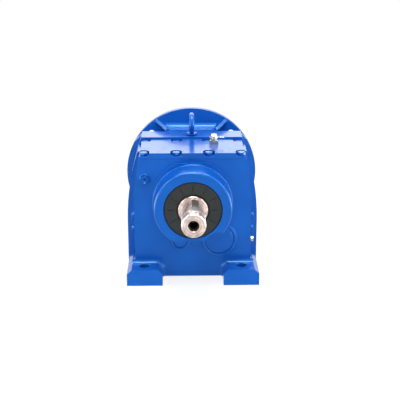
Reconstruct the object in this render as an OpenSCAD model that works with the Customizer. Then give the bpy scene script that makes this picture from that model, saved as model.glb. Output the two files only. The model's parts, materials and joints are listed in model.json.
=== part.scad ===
// Foot-mounted inline helical gear reducer with an IEC motor adapter.
// X runs across, Y from the output shaft to the motor, Z up.
// The origin is the centre of the four foot holes, on the mounting plane.

/* [Feet] */
// Height of the shaft axis over the mounting plane
axis_height = 140; // [138:1:150]
// Width over both feet
foot_w = 230; // [226:1:240]
// Distance between the inner edges of the feet
foot_gap = 106; // [100:1:112]
// Thickness of the feet
foot_t = 29; // [24:1:32]
// Bolt hole spacing across
hole_spacing_x = 170; // [160:1:176]
// Bolt hole spacing along the shaft
hole_spacing_y = 205; // [200:1:210]
// Bolt hole diameter
foot_hole_d = 17.5; // [13.5:0.5:18]
// Distance from the end bolt holes to the ends of the feet
foot_end = 21; // [18:1:23]
// Chamfer on the front edges of the feet
foot_chamfer = 8; // [4:1:10]
// Radius where the walls run into the feet
foot_fillet = 6; // [4:1:7]

/* [Housing] */
// Width of the front part at its base
front_w = 204; // [200:1:206]
// Width of the rear part at its base
rear_w = 234; // [230:1:238]
// Distance from the foot ends to the front wall
front_setback = 37; // [34:1:40]
// Length of the front part
front_len = 57; // [54:1:62]
// Length of the rear part
rear_len = 97; // [95:1:104]
// How far below the shaft axis the front part's sides start to lean in
front_spring_drop = 10; // [0:1:30]
// How far below the shaft axis the rear part's sides start to lean in
rear_spring_drop = 50; // [30:1:60]
// Radius of the leaning sides
side_r = 405; // [350:5:500]
// Height of the machined face under the cover, over the shaft axis
cover_seat_rise = 77; // [75:0.5:79]
// Height of the rear deck over the shaft axis
deck_rise = 91; // [89:0.5:94]
// Height of the lower edge of the walls
wall_base_z = 3; // [1:0.5:5]
// Wall thickness of the sides
side_wall = 9; // [7:0.5:11]
// Thickness of the front wall
front_wall = 16; // [14:0.5:18]
// Height of the oil sump floor
sump_z = 14; // [12:0.5:16]
// Distance from the front wall face to the inner bearing wall
partition_y = 99; // [98:0.5:101]
// Thickness of the inner bearing wall
partition_t = 21; // [20.5:0.5:23]

/* [Output boss] */
// Length of the boss in front of the wall
boss_len = 46; // [43:1:50]
// Diameter of the boss at its face
boss_d = 133; // [130:1:136]
// Diameter of the boss at the wall
boss_root_d = 137; // [137:1:138]
// Radius of the boss's front edge
boss_edge_r = 4; // [2:0.5:6]
// Radius where the boss runs into its pad
boss_fillet = 1.5; // [1:0.5:2]
// Width over the flats of the pad round the boss
boss_pad_w = 142; // [142:1:146]
// Diameter over the rounded corners of the pad
boss_pad_d = 154; // [150:1:156]
// Thickness of the pad
boss_pad_t = 4; // [3:0.5:5]
// Distance from the axis to the flat under the boss
boss_flat = 55; // [54:0.5:58]

/* [Output shaft] */
// Diameter of the shaft extension
shaft_d = 40; // [32:1:42]
// Length of the shaft extension in front of the boss
shaft_len = 80; // [70:1:90]
// Diameter of the collar that the seal runs on
collar_d = 50; // [48:1:52]
// Length of collar in front of the boss face
collar_proud = 1.5; // [0.5:0.5:3]
// Key width
key_w = 12; // [10:1:12]
// Key height
key_h = 8; // [7:0.5:8]
// Key length
key_len = 63; // [50:1:66]
// Distance from the shaft end to the key
key_end = 7; // [5:0.5:10]
// How far the key is turned from straight up, clockwise as the shaft end is seen
key_turn = 8; // [7:1:12]
// Thread size of the centre hole
centre_thread = 16; // [12:2:16]
// Depth of the centre hole
centre_depth = 40; // [30:1:45]
// Chamfer of the shaft end
shaft_chamfer = 1.5; // [1:0.5:2.5]

/* [Countershafts] */
// Low-speed countershaft, distance to the right of the output axis
low_x = 46; // [45:0.5:47]
// Low-speed countershaft, height over the mounting plane
low_z = 72; // [71:0.5:73]
// High-speed countershaft, distance to the left of the output axis
high_x = 22; // [21:0.5:23]
// High-speed countershaft, height over the mounting plane
high_z = 70; // [69:0.5:71]
// Diameter of the low-speed shaft between its bearings
low_shaft_d = 30; // [28:0.5:31]
// Diameter of the thin front end of the high-speed shaft
high_shaft_d = 12; // [11:0.5:13]
// Diameter of the high-speed shaft under its gear
high_seat_d = 22; // [21:0.5:24]
// Thickness of the large bore cap
large_cap_t = 5; // [3:0.5:6]
// Thickness of the small bore cap
small_cap_t = 4; // [3:0.5:6]
// Height of the rings round the bore caps
cap_ring_h = 2.5; // [1.5:0.5:3]
// Width of the rings round the bore caps
cap_ring_w = 5; // [3:0.5:6]
// Chamfer round the face of the bore caps
cap_chamfer = 0.8; // [0.5:0.1:1]

/* [Gears] */
// Teeth of the low-speed pinion
z_low_pinion = 13; // [13:1:14]
// Teeth of the output gear
z_output = 41; // [40:1:42]
// Teeth of the high-speed pinion
z_high_pinion = 14; // [13:1:15]
// Teeth of the gear on the low-speed shaft
z_low_gear = 38; // [36:1:38]
// Teeth of the input pinion
z_input = 27; // [26:1:29]
// Teeth of the gear on the high-speed shaft
z_high_gear = 43; // [41:1:43]
// Face width of the output gear
output_face = 32; // [28:1:33]
// Face width of the gear on the low-speed shaft
low_face = 24; // [20:1:25]
// Face width of the gear on the high-speed shaft
high_face = 20; // [16:1:22]
// How much wider each pinion is than its gear
pinion_extra = 2; // [1:0.5:3]
// Helix angle
helix = 14; // [8:1:18]
// Clearance between the teeth of a pair
backlash = 0.3; // [0.2:0.05:0.5]

/* [Cover] */
// Length of the cover
cover_len = 103; // [100:1:105]
// Thickness of the cover
cover_t = 10; // [8:0.5:11]
// Thickness of the cover gasket
gasket_t = 1; // [0.5:0.5:1.5]
// Diameter of the bolt pockets
pocket_d = 20; // [18:0.5:22]
// Depth of the bolt pockets
pocket_depth = 6; // [4:0.5:7]
// Distance between the outer cover bolts
cover_bolt_span = 168; // [160:1:170]
// Distance from the cover's ends to its bolts
cover_bolt_end = 12; // [11:0.5:14]

/* [Motor adapter] */
// Thickness of the adapter plate
plate_t = 12; // [10:0.5:13]
// Width of the adapter plate
plate_w = 212; // [210:1:218]
// Width of the adapter neck over its flats
neck_w = 178; // [174:1:180]
// Half width of the neck's flats
neck_flat = 45.7; // [42:0.1:50]
// Length of the adapter neck
neck_len = 32; // [30:1:36]
// Wall thickness of the neck
neck_wall = 8; // [6:0.5:10]
// Flange diameter
flange_d = 250; // [246:1:254]
// Flange thickness
flange_t = 14; // [12:0.5:16]
// Distance from the centres of the motor bolts to the flange's rim
flange_bolt_inset = 17.5; // [16.5:0.5:18.5]
// Diameter of the motor bolt holes
flange_hole_d = 14; // [12:0.5:15]
// Diameter of the recess for the motor spigot
spigot_d = 180; // [176:1:182]
// Depth of the recess for the motor spigot
spigot_depth = 5; // [4:0.5:6]
// Thickness of the flange ribs
rib_t = 6; // [5:0.5:8]
// Bore for the motor shaft
motor_bore_d = 28; // [24:1:28]
// Length of the bore for the motor shaft
motor_bore_len = 58; // [50:1:58]
// Key width of the motor shaft
motor_key_w = 8; // [6:1:8]
// Diameter of the hollow input shaft
input_d = 45; // [44:1:46]

/* [Fittings] */
// Diameter of the eye bolt's collar
eye_collar_d = 21; // [18:0.5:24]
// Outer diameter of the eye
eye_ring_d = 40; // [36:1:44]
// Thickness of the eye
eye_wire_d = 9; // [8:0.5:10]
// Total height of the eye bolt over the deck
eye_h = 41; // [40:1:46]
// Distance from the deck's front edge to the eye bolt
eye_setback = 20; // [16:1:26]
// Diameter of the breather body
breather_d = 12; // [10:0.5:14]
// Height of the breather over the cover
breather_h = 18; // [16:0.5:24]
// Diameter of the level plug's boss
level_boss_d = 16; // [14:0.5:20]
// Diameter of the side pads
side_pad_d = 15; // [13:0.5:18]
// Diameter of the drain plug's head
drain_d = 16; // [14:0.5:18]

/* [Fits] */
// Radial clearance of pressed and seated parts
seat_gap = 0.01; // [0.005:0.005:0.03]
// Gap between the seal lips and the shaft
lip_gap = 0.05; // [0.02:0.01:0.1]
// Gap between the balls and their races
race_gap = 0.1; // [0.05:0.01:0.2]
// Axial gap between parts that turn past each other
side_gap = 1; // [0.5:0.1:1.5]

/* [Hidden] */
$fn = 72;
eps = 0.5;

paint = [0.08, 0.34, 0.74];
steel = [0.72, 0.72, 0.72];
dark_steel = [0.45, 0.45, 0.48];
rubber = [0.26, 0.27, 0.28];
brass = [0.75, 0.66, 0.45];
paper = [0.70, 0.62, 0.45];

// Standard ball bearings: bore, outside diameter, width, ball diameter
bearing_45_100 = [45, 100, 25, 16.5];
bearing_45_85 = [45, 85, 19, 12];
bearing_25_52 = [25, 52, 15, 8.1];
bearing_10_26 = [10, 26, 8, 4.35];
bearing_20_47 = [20, 47, 14, 8.1];
bearing_45_75 = [45, 75, 16, 9];
seat_d = bearing_45_100[0];

// Shaft seals: outside diameter, width
output_seal = [bearing_45_100[1], 10];
input_seal = [62, 8];
seal_recess = 1;
ring_t = 3;

// Heights over the mounting plane
low_drop = axis_height - low_z;
high_drop = axis_height - high_z;
front_spring = axis_height - front_spring_drop;
rear_spring = axis_height - rear_spring_drop;
cover_seat_z = axis_height + cover_seat_rise;
deck_z = axis_height + deck_rise;

// Stations along the shaft axis
foot_front_y = -hole_spacing_y / 2 - foot_end;
foot_back_y = hole_spacing_y / 2 + foot_end;
wall_y = foot_front_y + front_setback;
boss_y = wall_y - boss_len;
shaft_end_y = boss_y - shaft_len;
shoulder_y = wall_y + front_len;
rear_y = shoulder_y + rear_len;
cavity_y = wall_y + front_wall;
partition_y0 = wall_y + partition_y;
partition_y1 = partition_y0 + partition_t;
plate_y = rear_y + gasket_t;
neck_y = plate_y + plate_t;
flange_y = neck_y + neck_len;
motor_y = flange_y + flange_t;

seal_y = boss_y + seal_recess;
ring_y = seal_y + output_seal[1];
output_front_y = ring_y + ring_t;
output_bore_end = output_front_y + bearing_45_100[2];
output_rear_y = partition_y1 - bearing_45_85[2];
low_front_y = wall_y + large_cap_t;
low_rear_y = partition_y1 - bearing_25_52[2];
high_front_y = wall_y + small_cap_t;
high_rear_y = partition_y1 - bearing_20_47[2];

// Gear stages
pressure_angle = 24;
a_low = norm([low_x, low_drop]);
a_mid = norm([low_x + high_x, high_drop - low_drop]);
a_high = norm([high_x, high_drop]);
m_low = 2 * a_low / (z_low_pinion + z_output);
m_mid = 2 * a_mid / (z_high_pinion + z_low_gear);
m_high = 2 * a_high / (z_input + z_high_gear);
angle_low = atan2(-low_drop, low_x);
angle_mid = atan2(low_drop - high_drop, -high_x - low_x);
angle_high = atan2(-high_drop, -high_x);
output_gear_y = low_front_y + bearing_25_52[2] + 4;
low_gear_y = shoulder_y + side_wall + 3;
high_gear_y = partition_y1 + 6;

// Shafts, keys and rings
gear_key_depth = 5.5;
low_key_depth = 4;
key_top_gap = 0.2;
spacer_w = 6;
groove_depth = 1.5;
shaft_ring_t = 1.75;
output_ring_w = 5;
input_ring_w = 4;

// Screws and plugs
tapped_depth = 16;
bolt_grip = 12;
bolt_clear = 0.5;
eye_shank_r = 5;
eye_shank_len = 14;
breather_shank_r = 5;
plug_shank_r = 4;
plug_head_r = 6.5;
plug_head_h = 3;
drain_shank_r = 5;
drain_head_h = 5;
pad_h = 2.5;
plug_shank_len = 10;
plug_socket_h = 3;
level_boss_h = 2;
cap_proud = 0.5;

// Radii of the openings behind the inner bearing wall
rear_open_r = 60;
high_open_r = m_high * z_high_gear / 2 + m_high + 3;
low_open_r = bearing_25_52[1] / 2 + 8;

// Input line
input_seal_y = plate_y;
input_shoulder_y = input_seal_y + input_seal[1] + 3;
input_front_y = input_shoulder_y;
input_ring_t = 2.5;
input_bore_y = motor_y - spigot_depth - 1;
input_ring_y = input_bore_y - input_ring_t - 1;
input_rear_y = input_ring_y - bearing_45_75[2];
input_end_y = input_bore_y;
input_stub_d = 30;
input_step_y = rear_y - 5;
adapter_boss_d = bearing_45_75[1] + 18;

// Output keyseat and gear keys
key_depth = 5;
gear_key_w = 14;
gear_key_h = 9;
low_key_w = 8;
low_key_h = 7;

// Cover bolts
bolt_d = 8;
bolt_head_w = 13;
bolt_head_h = 5.3;
cover_z = cover_seat_z + gasket_t;
cover_top = cover_z + cover_t;
cover_bolt_x = [for (i = [-1.5, -0.5, 0.5, 1.5]) i * cover_bolt_span / 3];
cover_bolt_y = [wall_y + cover_bolt_end, wall_y + cover_len - cover_bolt_end];
opening_w = cover_bolt_span - 26;
opening_y0 = cover_bolt_y[0] + 12;
opening_y1 = cover_bolt_y[1] - 12;

// Adapter bolts: pairs at the sides, above and below the neck
plate_top = deck_z - 5;
tongue_w = 116;
adapter_bolt_x = plate_w / 2 - 9;
adapter_bolt_rise = 40;
adapter_corner_x = 75;
adapter_corner_inset = 10;
plate_low_z = foot_t + 2;
adapter_bolt_holes = [for (s = [-1, 1])
    each [[s * adapter_bolt_x, axis_height - adapter_bolt_rise],
          [s * adapter_bolt_x, axis_height + adapter_bolt_rise],
          [s * adapter_corner_x, plate_top - adapter_corner_inset],
          [s * adapter_corner_x, plate_low_z + 1.5 * adapter_corner_inset]]];
plate_corner = 14;
flange_pcd = flange_d - 2 * flange_bolt_inset;

// Fittings
eye_y = wall_y + cover_len + 2 + eye_setback;
breather_x = 38.5;
breather_setback = 64;
breather_y = wall_y + breather_setback;
level_x = 82;
level_z = axis_height + 43;
side_pad_y = shoulder_y - 32;
side_pad_drop = [56, 32];
side_pad_z = [for (drop = side_pad_drop) axis_height - drop];
drain_y = shoulder_y - 14;
drain_rise = 27;
drain_z = foot_t + drain_rise;
foot_hole_x = hole_spacing_x / 2;
foot_hole_y = hole_spacing_y / 2;

// Placing and drawing helpers

// A solid that fills its outline, drawn across and up, between two stations
module slab(y0, y1)
    translate([0, y1, 0]) rotate([90, 0, 0]) linear_extrude(height = y1 - y0) children();

// A round bar along Y
module bar(x, z, y0, y1, r)
    translate([x, y0, z]) rotate([-90, 0, 0]) cylinder(h = y1 - y0, r = r);

// A ring along Y
module ring(x, z, y0, y1, r_out, r_in)
    difference() {
        bar(x, z, y0, y1, r_out);
        bar(x, z, y0 - eps, y1 + eps, r_in);
    }

// A solid turned about the shaft axis: its profile's X is the radius and its Y the station
module turned(x = 0, z = axis_height)
    translate([x, 0, z]) rotate([-90, 0, 0]) rotate_extrude() children();

// Half width of a leaning side at height z
function side_x(half_w, spring, z) =
    z <= spring ? half_w : half_w - side_r + sqrt(side_r * side_r - (z - spring) * (z - spring));

// Outline of the housing: upright sides that lean in along an arc to the top
function housing_outline(half_w, spring, z0, z1, steps = 8) =
    let (side = [for (i = [0 : steps])
        let (z = i == 0 ? spring : spring + (z1 - spring) * i / steps) [side_x(half_w, spring, z), z]])
    concat([[half_w, z0]], side, [for (i = [steps : -1 : 0]) [-side[i][0], side[i][1]]], [[-half_w, z0]]);

// Points of a rectangle's outline with chamfered corners
function chamfered(w, h, c) =
    [[w / 2 - c, -h / 2], [w / 2, c - h / 2], [w / 2, h / 2 - c], [w / 2 - c, h / 2],
     [c - w / 2, h / 2], [-w / 2, h / 2 - c], [-w / 2, c - h / 2], [c - w / 2, -h / 2]];

// Concave fillet along Y, in the corner at [x, z] that opens towards sx and up
module fillet_y(x, z, y0, y1, r, sx)
    translate([x, 0, z]) slab(y0, y1) difference() {
        translate([sx < 0 ? -r : -eps, -eps]) square([r + eps, r + eps]);
        translate([sx * r, r]) circle(r = r);
    }

// Concave fillet along X, in the corner at [y, z] that opens towards sy and up
module fillet_x(x0, x1, y, z, r, sy)
    translate([x0, y, z]) rotate([90, 0, 90]) linear_extrude(height = x1 - x0) difference() {
        translate([sy < 0 ? -r : -eps, -eps]) square([r + eps, r + eps]);
        translate([sy * r, r]) circle(r = r);
    }

// Involute gear outline
function involute(a) = tan(a) - a * PI / 180;
function tooth_half_angle(r, rp, rb, z) =
    90 / z - (backlash / 4 / rp) * 180 / PI
    + (involute(pressure_angle) - involute(acos(min(1, rb / r)))) * 180 / PI;
function gear_points(z, m, flank_n = 3) =
    let (rp = m * z / 2, tip = rp + m, root = rp - 1.25 * m, rb = rp * cos(pressure_angle),
         start = max(root + 0.1, rb))
    [for (i = [0 : z - 1]) for (k = [0 : 2 * flank_n + 1])
        let (rising = k <= flank_n,
             j = rising ? k : 2 * flank_n + 1 - k,
             r = j == 0 ? root : start + (tip - start) * (j - 1) / (flank_n - 1),
             a = i * 360 / z + (rising ? -1 : 1) * tooth_half_angle(max(r, start), rp, rb, z))
        [r * cos(a), r * sin(a)]];

// Helical toothed body between two stations; hand is 1 or -1
module toothed(x, z_pos, z, m, y0, y1, phase, hand) {
    twist = hand * tan(helix) * (y1 - y0) / (m * z / 2) * 180 / PI;
    translate([x, y1, z_pos]) rotate([90, 0, 0])
        linear_extrude(height = y1 - y0, twist = twist, slices = 4, convexity = 6)
            rotate(phase + twist / 2) polygon(gear_points(z, m));
}

// Recess turned into both faces of a gear's web
module web_recess(x, z_pos, y0, y1, depth, r_out, r_in)
    for (y = [y0 - eps, y1 - depth]) ring(x, z_pos, y, y + depth + eps, r_out, r_in);

// Ball bearing parts, worked out from the bearing's sizes
function pitch_r(b) = (b[0] + b[1]) / 4;
function ball_r(b) = b[3] / 2;
function ball_count(b) = floor(PI * pitch_r(b) / (1.25 * ball_r(b)));

module bearing_outer(b, x, z, y0)
    color(steel) turned(x, z) difference() {
        translate([pitch_r(b) + 0.45 * ball_r(b), y0])
            square([b[1] / 2 - seat_gap - pitch_r(b) - 0.45 * ball_r(b), b[2]]);
        translate([pitch_r(b), y0 + b[2] / 2]) circle(r = ball_r(b) + race_gap);
    }

module bearing_inner(b, x, z, y0)
    color(steel) turned(x, z) difference() {
        translate([b[0] / 2 + seat_gap, y0])
            square([pitch_r(b) - 0.45 * ball_r(b) - b[0] / 2 - seat_gap, b[2]]);
        translate([pitch_r(b), y0 + b[2] / 2]) circle(r = ball_r(b) + race_gap);
    }

module bearing_balls(b, x, z, y0)
    color(steel) for (i = [0 : ball_count(b) - 1])
        translate([x, y0 + b[2] / 2, z]) rotate([0, i * 360 / ball_count(b), 0])
            translate([pitch_r(b), 0, 0]) sphere(r = ball_r(b), $fn = 24);

// Hex-head bolt with its head upwards, from the underside of its head
module bolt_up(d, head_w, head_h, len) {
    cylinder(h = head_h, r = head_w / sqrt(3), $fn = 6);
    translate([0, 0, -len]) cylinder(h = len + eps, r = d / 2);
}

// Retaining ring with its gap towards an angle
module snap_ring(x, z, y0, t, r_out, r_in, gap)
    difference() {
        ring(x, z, y0, y0 + t, r_out, r_in);
        translate([x, y0 - eps, z - r_out - eps]) translate([-gap / 2, 0, 0])
            cube([gap, t + 2 * eps, r_out]);
    }

// Housing

module foot_rail(side) {
    inner = foot_gap / 2;
    outer = foot_w / 2;
    rear_inner = tongue_w / 2 + 4;
    mirror([side < 0 ? 1 : 0, 0, 0]) difference() {
        union() {
            slab(foot_front_y, rear_y) polygon([
                [inner, 0], [outer, 0], [outer, foot_t - foot_chamfer], [outer - foot_chamfer, foot_t],
                [inner + foot_chamfer, foot_t], [inner, foot_t - foot_chamfer]]);
            slab(rear_y - eps, foot_back_y) polygon([
                [rear_inner, 0], [outer, 0], [outer, foot_t - foot_chamfer], [outer - foot_chamfer, foot_t],
                [rear_inner + foot_chamfer, foot_t], [rear_inner, foot_t - foot_chamfer]]);
        }
        for (y = [-foot_hole_y, foot_hole_y])
            translate([foot_hole_x, y, -eps]) cylinder(h = foot_t + 2 * eps, r = foot_hole_d / 2);
    }
}

module boss_solid() {
    pad_y = wall_y - boss_pad_t;
    difference() {
        union() {
            turned() polygon(concat(
                [[0, wall_y + eps], [0, boss_y], [boss_d / 2 - boss_edge_r, boss_y]],
                [for (a = [15 : 15 : 90])
                    [boss_d / 2 - boss_edge_r * (1 - sin(a)), boss_y + boss_edge_r * (1 - cos(a))]],
                [for (a = [0 : 30 : 90])
                    [boss_root_d / 2 + boss_fillet * (1 - cos(a)), pad_y - boss_fillet * (1 - sin(a))]],
                [[boss_root_d / 2 + boss_fillet, wall_y + eps]]));
            slab(pad_y, wall_y + eps) translate([0, axis_height]) intersection() {
                circle(r = boss_pad_d / 2);
                square(boss_pad_w, center = true);
            }
        }
        translate([-boss_root_d, boss_y - eps, axis_height - boss_flat - boss_root_d])
            cube([2 * boss_root_d, boss_len + eps, boss_root_d]);
        bar(low_x, low_z, boss_y - eps, wall_y, bearing_25_52[1] / 2 + cap_ring_h);
        bar(-high_x, high_z, boss_y - eps, wall_y, bearing_10_26[1] / 2 + cap_ring_h);
    }
}

module housing_walls() {
    deck_y = wall_y + cover_len + 2;
    slab(wall_y, shoulder_y + eps)
        polygon(housing_outline(front_w / 2, front_spring, wall_base_z, cover_seat_z));
    difference() {
        slab(shoulder_y, rear_y) polygon(housing_outline(rear_w / 2, rear_spring, wall_base_z, deck_z));
        translate([-rear_w / 2, shoulder_y - eps, cover_seat_z])
            cube([rear_w, deck_y - shoulder_y + eps, deck_z - cover_seat_z + eps]);
    }
}

module wall_fillets(side) {
    ledge = (foot_w - front_w) / 2 - foot_chamfer;
    fillet_y(side * front_w / 2, foot_t, wall_y, shoulder_y + eps, min(foot_fillet, ledge), side);
    fillet_x(side > 0 ? foot_gap / 2 + foot_chamfer : -foot_w / 2 + foot_chamfer,
             side > 0 ? foot_w / 2 - foot_chamfer : -foot_gap / 2 - foot_chamfer,
             wall_y, foot_t, foot_fillet, -1);
}

module housing_mass() {
    housing_walls();
    for (side = [-1, 1]) {
        foot_rail(side);
        wall_fillets(side);
        for (z = side_pad_z) side_pad(side, side_pad_y, z);
    }
    side_pad(1, drain_y, drain_z);
    boss_solid();
    bar(low_x, low_z, wall_y - cap_ring_h, wall_y + eps, bearing_25_52[1] / 2 + cap_ring_w);
    bar(-high_x, high_z, wall_y - cap_ring_h, wall_y + eps, bearing_10_26[1] / 2 + cap_ring_w - 1);
    bar(-level_x, level_z, wall_y - level_boss_h, wall_y + eps, level_boss_d / 2);
}

// Round pad on a side wall, for a plug
module side_pad(side, y, z)
    translate([side * (front_w / 2 - eps), y, z]) rotate([0, side * 90, 0])
        cylinder(h = pad_h + eps, r = side_pad_d / 2);

module gear_chambers() {
    inner_front = front_w / 2 - side_wall;
    inner_rear = rear_w / 2 - side_wall - 2;
    roof_z = cover_seat_z - 12;
    slab(cavity_y, shoulder_y + side_wall + eps)
        polygon(housing_outline(inner_front, front_spring, sump_z, roof_z));
    slab(shoulder_y + side_wall, partition_y0)
        polygon(housing_outline(inner_rear, rear_spring, sump_z, roof_z));
    translate([-opening_w / 2, opening_y0, roof_z - eps])
        cube([opening_w, opening_y1 - opening_y0, cover_seat_z - roof_z + 2 * eps]);
    bar(0, axis_height, partition_y1, rear_y + eps, rear_open_r);
    bar(-high_x, high_z, partition_y1, rear_y + eps, high_open_r);
    bar(low_x, low_z, partition_y1, rear_y + eps, low_open_r);
}

module bearing_bores() {
    bar(0, axis_height, boss_y - eps, output_bore_end, bearing_45_100[1] / 2);
    bar(0, axis_height, output_bore_end - eps, cavity_y + eps, bearing_45_100[1] / 2 - 6);
    bar(low_x, low_z, wall_y - cap_ring_h - eps, cavity_y + eps, bearing_25_52[1] / 2);
    bar(-high_x, high_z, wall_y - cap_ring_h - eps, cavity_y + eps, bearing_10_26[1] / 2);
    bar(0, axis_height, output_rear_y, partition_y1 + eps, bearing_45_85[1] / 2);
    bar(0, axis_height, partition_y0 - eps, output_rear_y + eps, bearing_45_85[1] / 2 - 5);
    bar(low_x, low_z, low_rear_y, partition_y1 + eps, bearing_25_52[1] / 2);
    bar(low_x, low_z, partition_y0 - eps, low_rear_y + eps, bearing_25_52[1] / 2 - 4);
    bar(-high_x, high_z, high_rear_y, partition_y1 + eps, bearing_20_47[1] / 2);
    bar(-high_x, high_z, partition_y0 - eps, high_rear_y + eps, bearing_20_47[1] / 2 - 4);
}

module housing()
    color(paint) difference() {
        union() {
            difference() {
                housing_mass();
                gear_chambers();
            }
            bar(low_x, low_z, cavity_y - eps, low_front_y + bearing_25_52[2],
                bearing_25_52[1] / 2 + 5);
        }
        bearing_bores();
        bar(low_x, low_z, cavity_y - eps, low_front_y + bearing_25_52[2] + eps,
            bearing_25_52[1] / 2);
        for (x = cover_bolt_x) for (y = cover_bolt_y)
            translate([x, y, cover_seat_z - tapped_depth]) cylinder(h = tapped_depth + eps, r = bolt_d / 2);
        for (p = adapter_bolt_holes) bar(p[0], p[1], rear_y - tapped_depth, rear_y + eps, bolt_d / 2);
        translate([0, eye_y, deck_z - eye_shank_len - 4])
            cylinder(h = eye_shank_len + 4 + eps, r = eye_shank_r);
        bar(-level_x, level_z, wall_y - level_boss_h - eps, cavity_y + eps, plug_shank_r);
        for (side = [-1, 1]) for (z = side_pad_z) plug_hole(side, side_pad_y, z, plug_shank_r);
        plug_hole(1, drain_y, drain_z, drain_shank_r);
    }

module plug_hole(side, y, z, r)
    translate([side * (front_w / 2 - plug_shank_len - 2), y, z]) rotate([0, side * 90, 0])
        cylinder(h = 2 * plug_shank_len, r = r);

// Top cover

module inspection_cover() {
    base_x = side_x(front_w / 2, front_spring, cover_z);
    top_x = side_x(front_w / 2, front_spring, cover_top);
    y1 = wall_y + cover_len;
    color(paint) difference() {
        slab(wall_y, y1)
            polygon([[-base_x, cover_z], [base_x, cover_z], [top_x, cover_top], [-top_x, cover_top]]);
        for (x = cover_bolt_x) {
            bolt_pocket(x, cover_bolt_y[0], -1);
            bolt_pocket(x, cover_bolt_y[1], 1);
        }
        for (x = cover_bolt_x) for (y = cover_bolt_y)
            translate([x, y, cover_z - eps]) cylinder(h = cover_t + 2 * eps, r = bolt_d / 2 + bolt_clear);
        translate([breather_x, breather_y, cover_z - eps])
            cylinder(h = cover_t + 2 * eps, r = breather_shank_r);
    }
}

// Half-round pocket for a bolt head, open towards the near end of the cover
module bolt_pocket(x, y, dir) {
    translate([x, y, cover_top - pocket_depth]) cylinder(h = pocket_depth + eps, r = pocket_d / 2);
    translate([x - pocket_d / 2, dir < 0 ? y - cover_bolt_end - eps : y, cover_top - pocket_depth])
        cube([pocket_d, cover_bolt_end + eps, pocket_depth + eps]);
}

module cover_gasket() {
    x = side_x(front_w / 2, front_spring, cover_seat_z) - 0.5;
    color(paper) difference() {
        translate([-x, wall_y + 0.5, cover_seat_z]) cube([2 * x, cover_len - 1, gasket_t]);
        translate([-opening_w / 2, opening_y0, cover_seat_z - eps])
            cube([opening_w, opening_y1 - opening_y0, gasket_t + 2 * eps]);
        for (bx = cover_bolt_x) for (by = cover_bolt_y)
            translate([bx, by, cover_seat_z - eps])
                cylinder(h = gasket_t + 2 * eps, r = bolt_d / 2 + bolt_clear);
    }
}

module cover_bolts()
    color(paint) for (x = cover_bolt_x) for (y = cover_bolt_y)
        translate([x, y, cover_top - pocket_depth])
            bolt_up(bolt_d - 2 * seat_gap, bolt_head_w, bolt_head_h,
                    cover_t - pocket_depth + gasket_t + bolt_grip);

// Fittings

module lifting_eye_bolt() {
    centre_z = deck_z + eye_h - eye_ring_d / 2;
    neck_top = centre_z - eye_ring_d / 2 + eye_wire_d;
    color(paint) union() {
        translate([0, eye_y, centre_z]) rotate([0, 90, 0])
            rotate_extrude() translate([(eye_ring_d - eye_wire_d) / 2, 0]) circle(r = eye_wire_d / 2);
        translate([0, eye_y, 0]) rotate_extrude() polygon([
            [0, deck_z - eye_shank_len], [eye_shank_r - seat_gap, deck_z - eye_shank_len],
            [eye_shank_r - seat_gap, deck_z],
            [eye_collar_d / 2, deck_z], [eye_collar_d / 2, deck_z + 3], [eye_collar_d / 2 - 1.5, deck_z + 5],
            [eye_wire_d / 2 + 2, deck_z + 6], [eye_wire_d / 2, neck_top - 1], [0, neck_top - 1]]);
    }
}

module breather_body()
    color(steel) translate([breather_x, breather_y, 0]) difference() {
        union() {
            translate([0, 0, cover_z + 1]) cylinder(h = cover_t, r = breather_shank_r - seat_gap);
            translate([0, 0, cover_top]) cylinder(h = 7, r = (breather_d + 2) / sqrt(3), $fn = 6);
            translate([0, 0, cover_top + 6.9]) cylinder(h = 3.1, r = breather_d / 2 - 1);
        }
        translate([0, 0, cover_z]) cylinder(h = cover_t + 8, r = 2);
    }

module breather_cap()
    color(brass) translate([breather_x, breather_y, cover_top + 10]) difference() {
        rotate_extrude() polygon([
            [0, 0], [breather_d / 2, 0], [breather_d / 2 + 0.5, 1], [breather_d / 2 + 0.5, breather_h - 12],
            [breather_d / 2 - 1, breather_h - 10], [0, breather_h - 10]]);
        translate([0, 0, breather_h / 2 - 7]) ring_z(1, breather_d / 2 + 2, breather_d / 2 - 0.5);
    }

module ring_z(h, r_out, r_in)
    difference() {
        cylinder(h = h, r = r_out);
        translate([0, 0, -eps]) cylinder(h = h + 2 * eps, r = r_in);
    }

// Strap that holds the valve shut in transport, with a pull loop
module breather_clip() {
    loop_r = 4;
    grip_z = cover_top + 10 + breather_h / 2 - 7 + 0.1;
    color(steel) translate([breather_x, breather_y, grip_z]) union() {
        ring_z(0.8, breather_d / 2 + 1.5, breather_d / 2 - 0.3);
        translate([breather_d / 2 + 1, -1.5, 0]) cube([4, 3, 0.8]);
        translate([breather_d / 2 + 4 + loop_r, 0, 0]) ring_z(0.8, loop_r, loop_r - 1.4);
    }
}

module oil_level_plug() {
    head_y = wall_y - level_boss_h - 1;
    color(paint) difference() {
        union() {
            bar(-level_x, level_z, head_y, wall_y - level_boss_h, plug_head_r - 0.5);
            bar(-level_x, level_z, wall_y - level_boss_h - 0.1, wall_y + 9, plug_shank_r - seat_gap);
        }
        translate([-level_x, head_y - eps, level_z]) rotate([-90, 0, 0])
            cylinder(h = 4, r = plug_shank_r - 1.1, $fn = 6);
    }
}

// Socket-head screw plug seated on a side pad
module side_plug(side, y, z, head_r, head_h, shank_r)
    translate([side * (front_w / 2 + pad_h), y, z]) rotate([0, side * 90, 0]) difference() {
        union() {
            cylinder(h = head_h, r = head_r);
            translate([0, 0, -plug_shank_len]) cylinder(h = plug_shank_len + eps, r = shank_r - seat_gap);
        }
        translate([0, 0, head_h - plug_socket_h])
            cylinder(h = plug_socket_h + eps, r = shank_r - 1.2, $fn = 6);
    }

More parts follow.
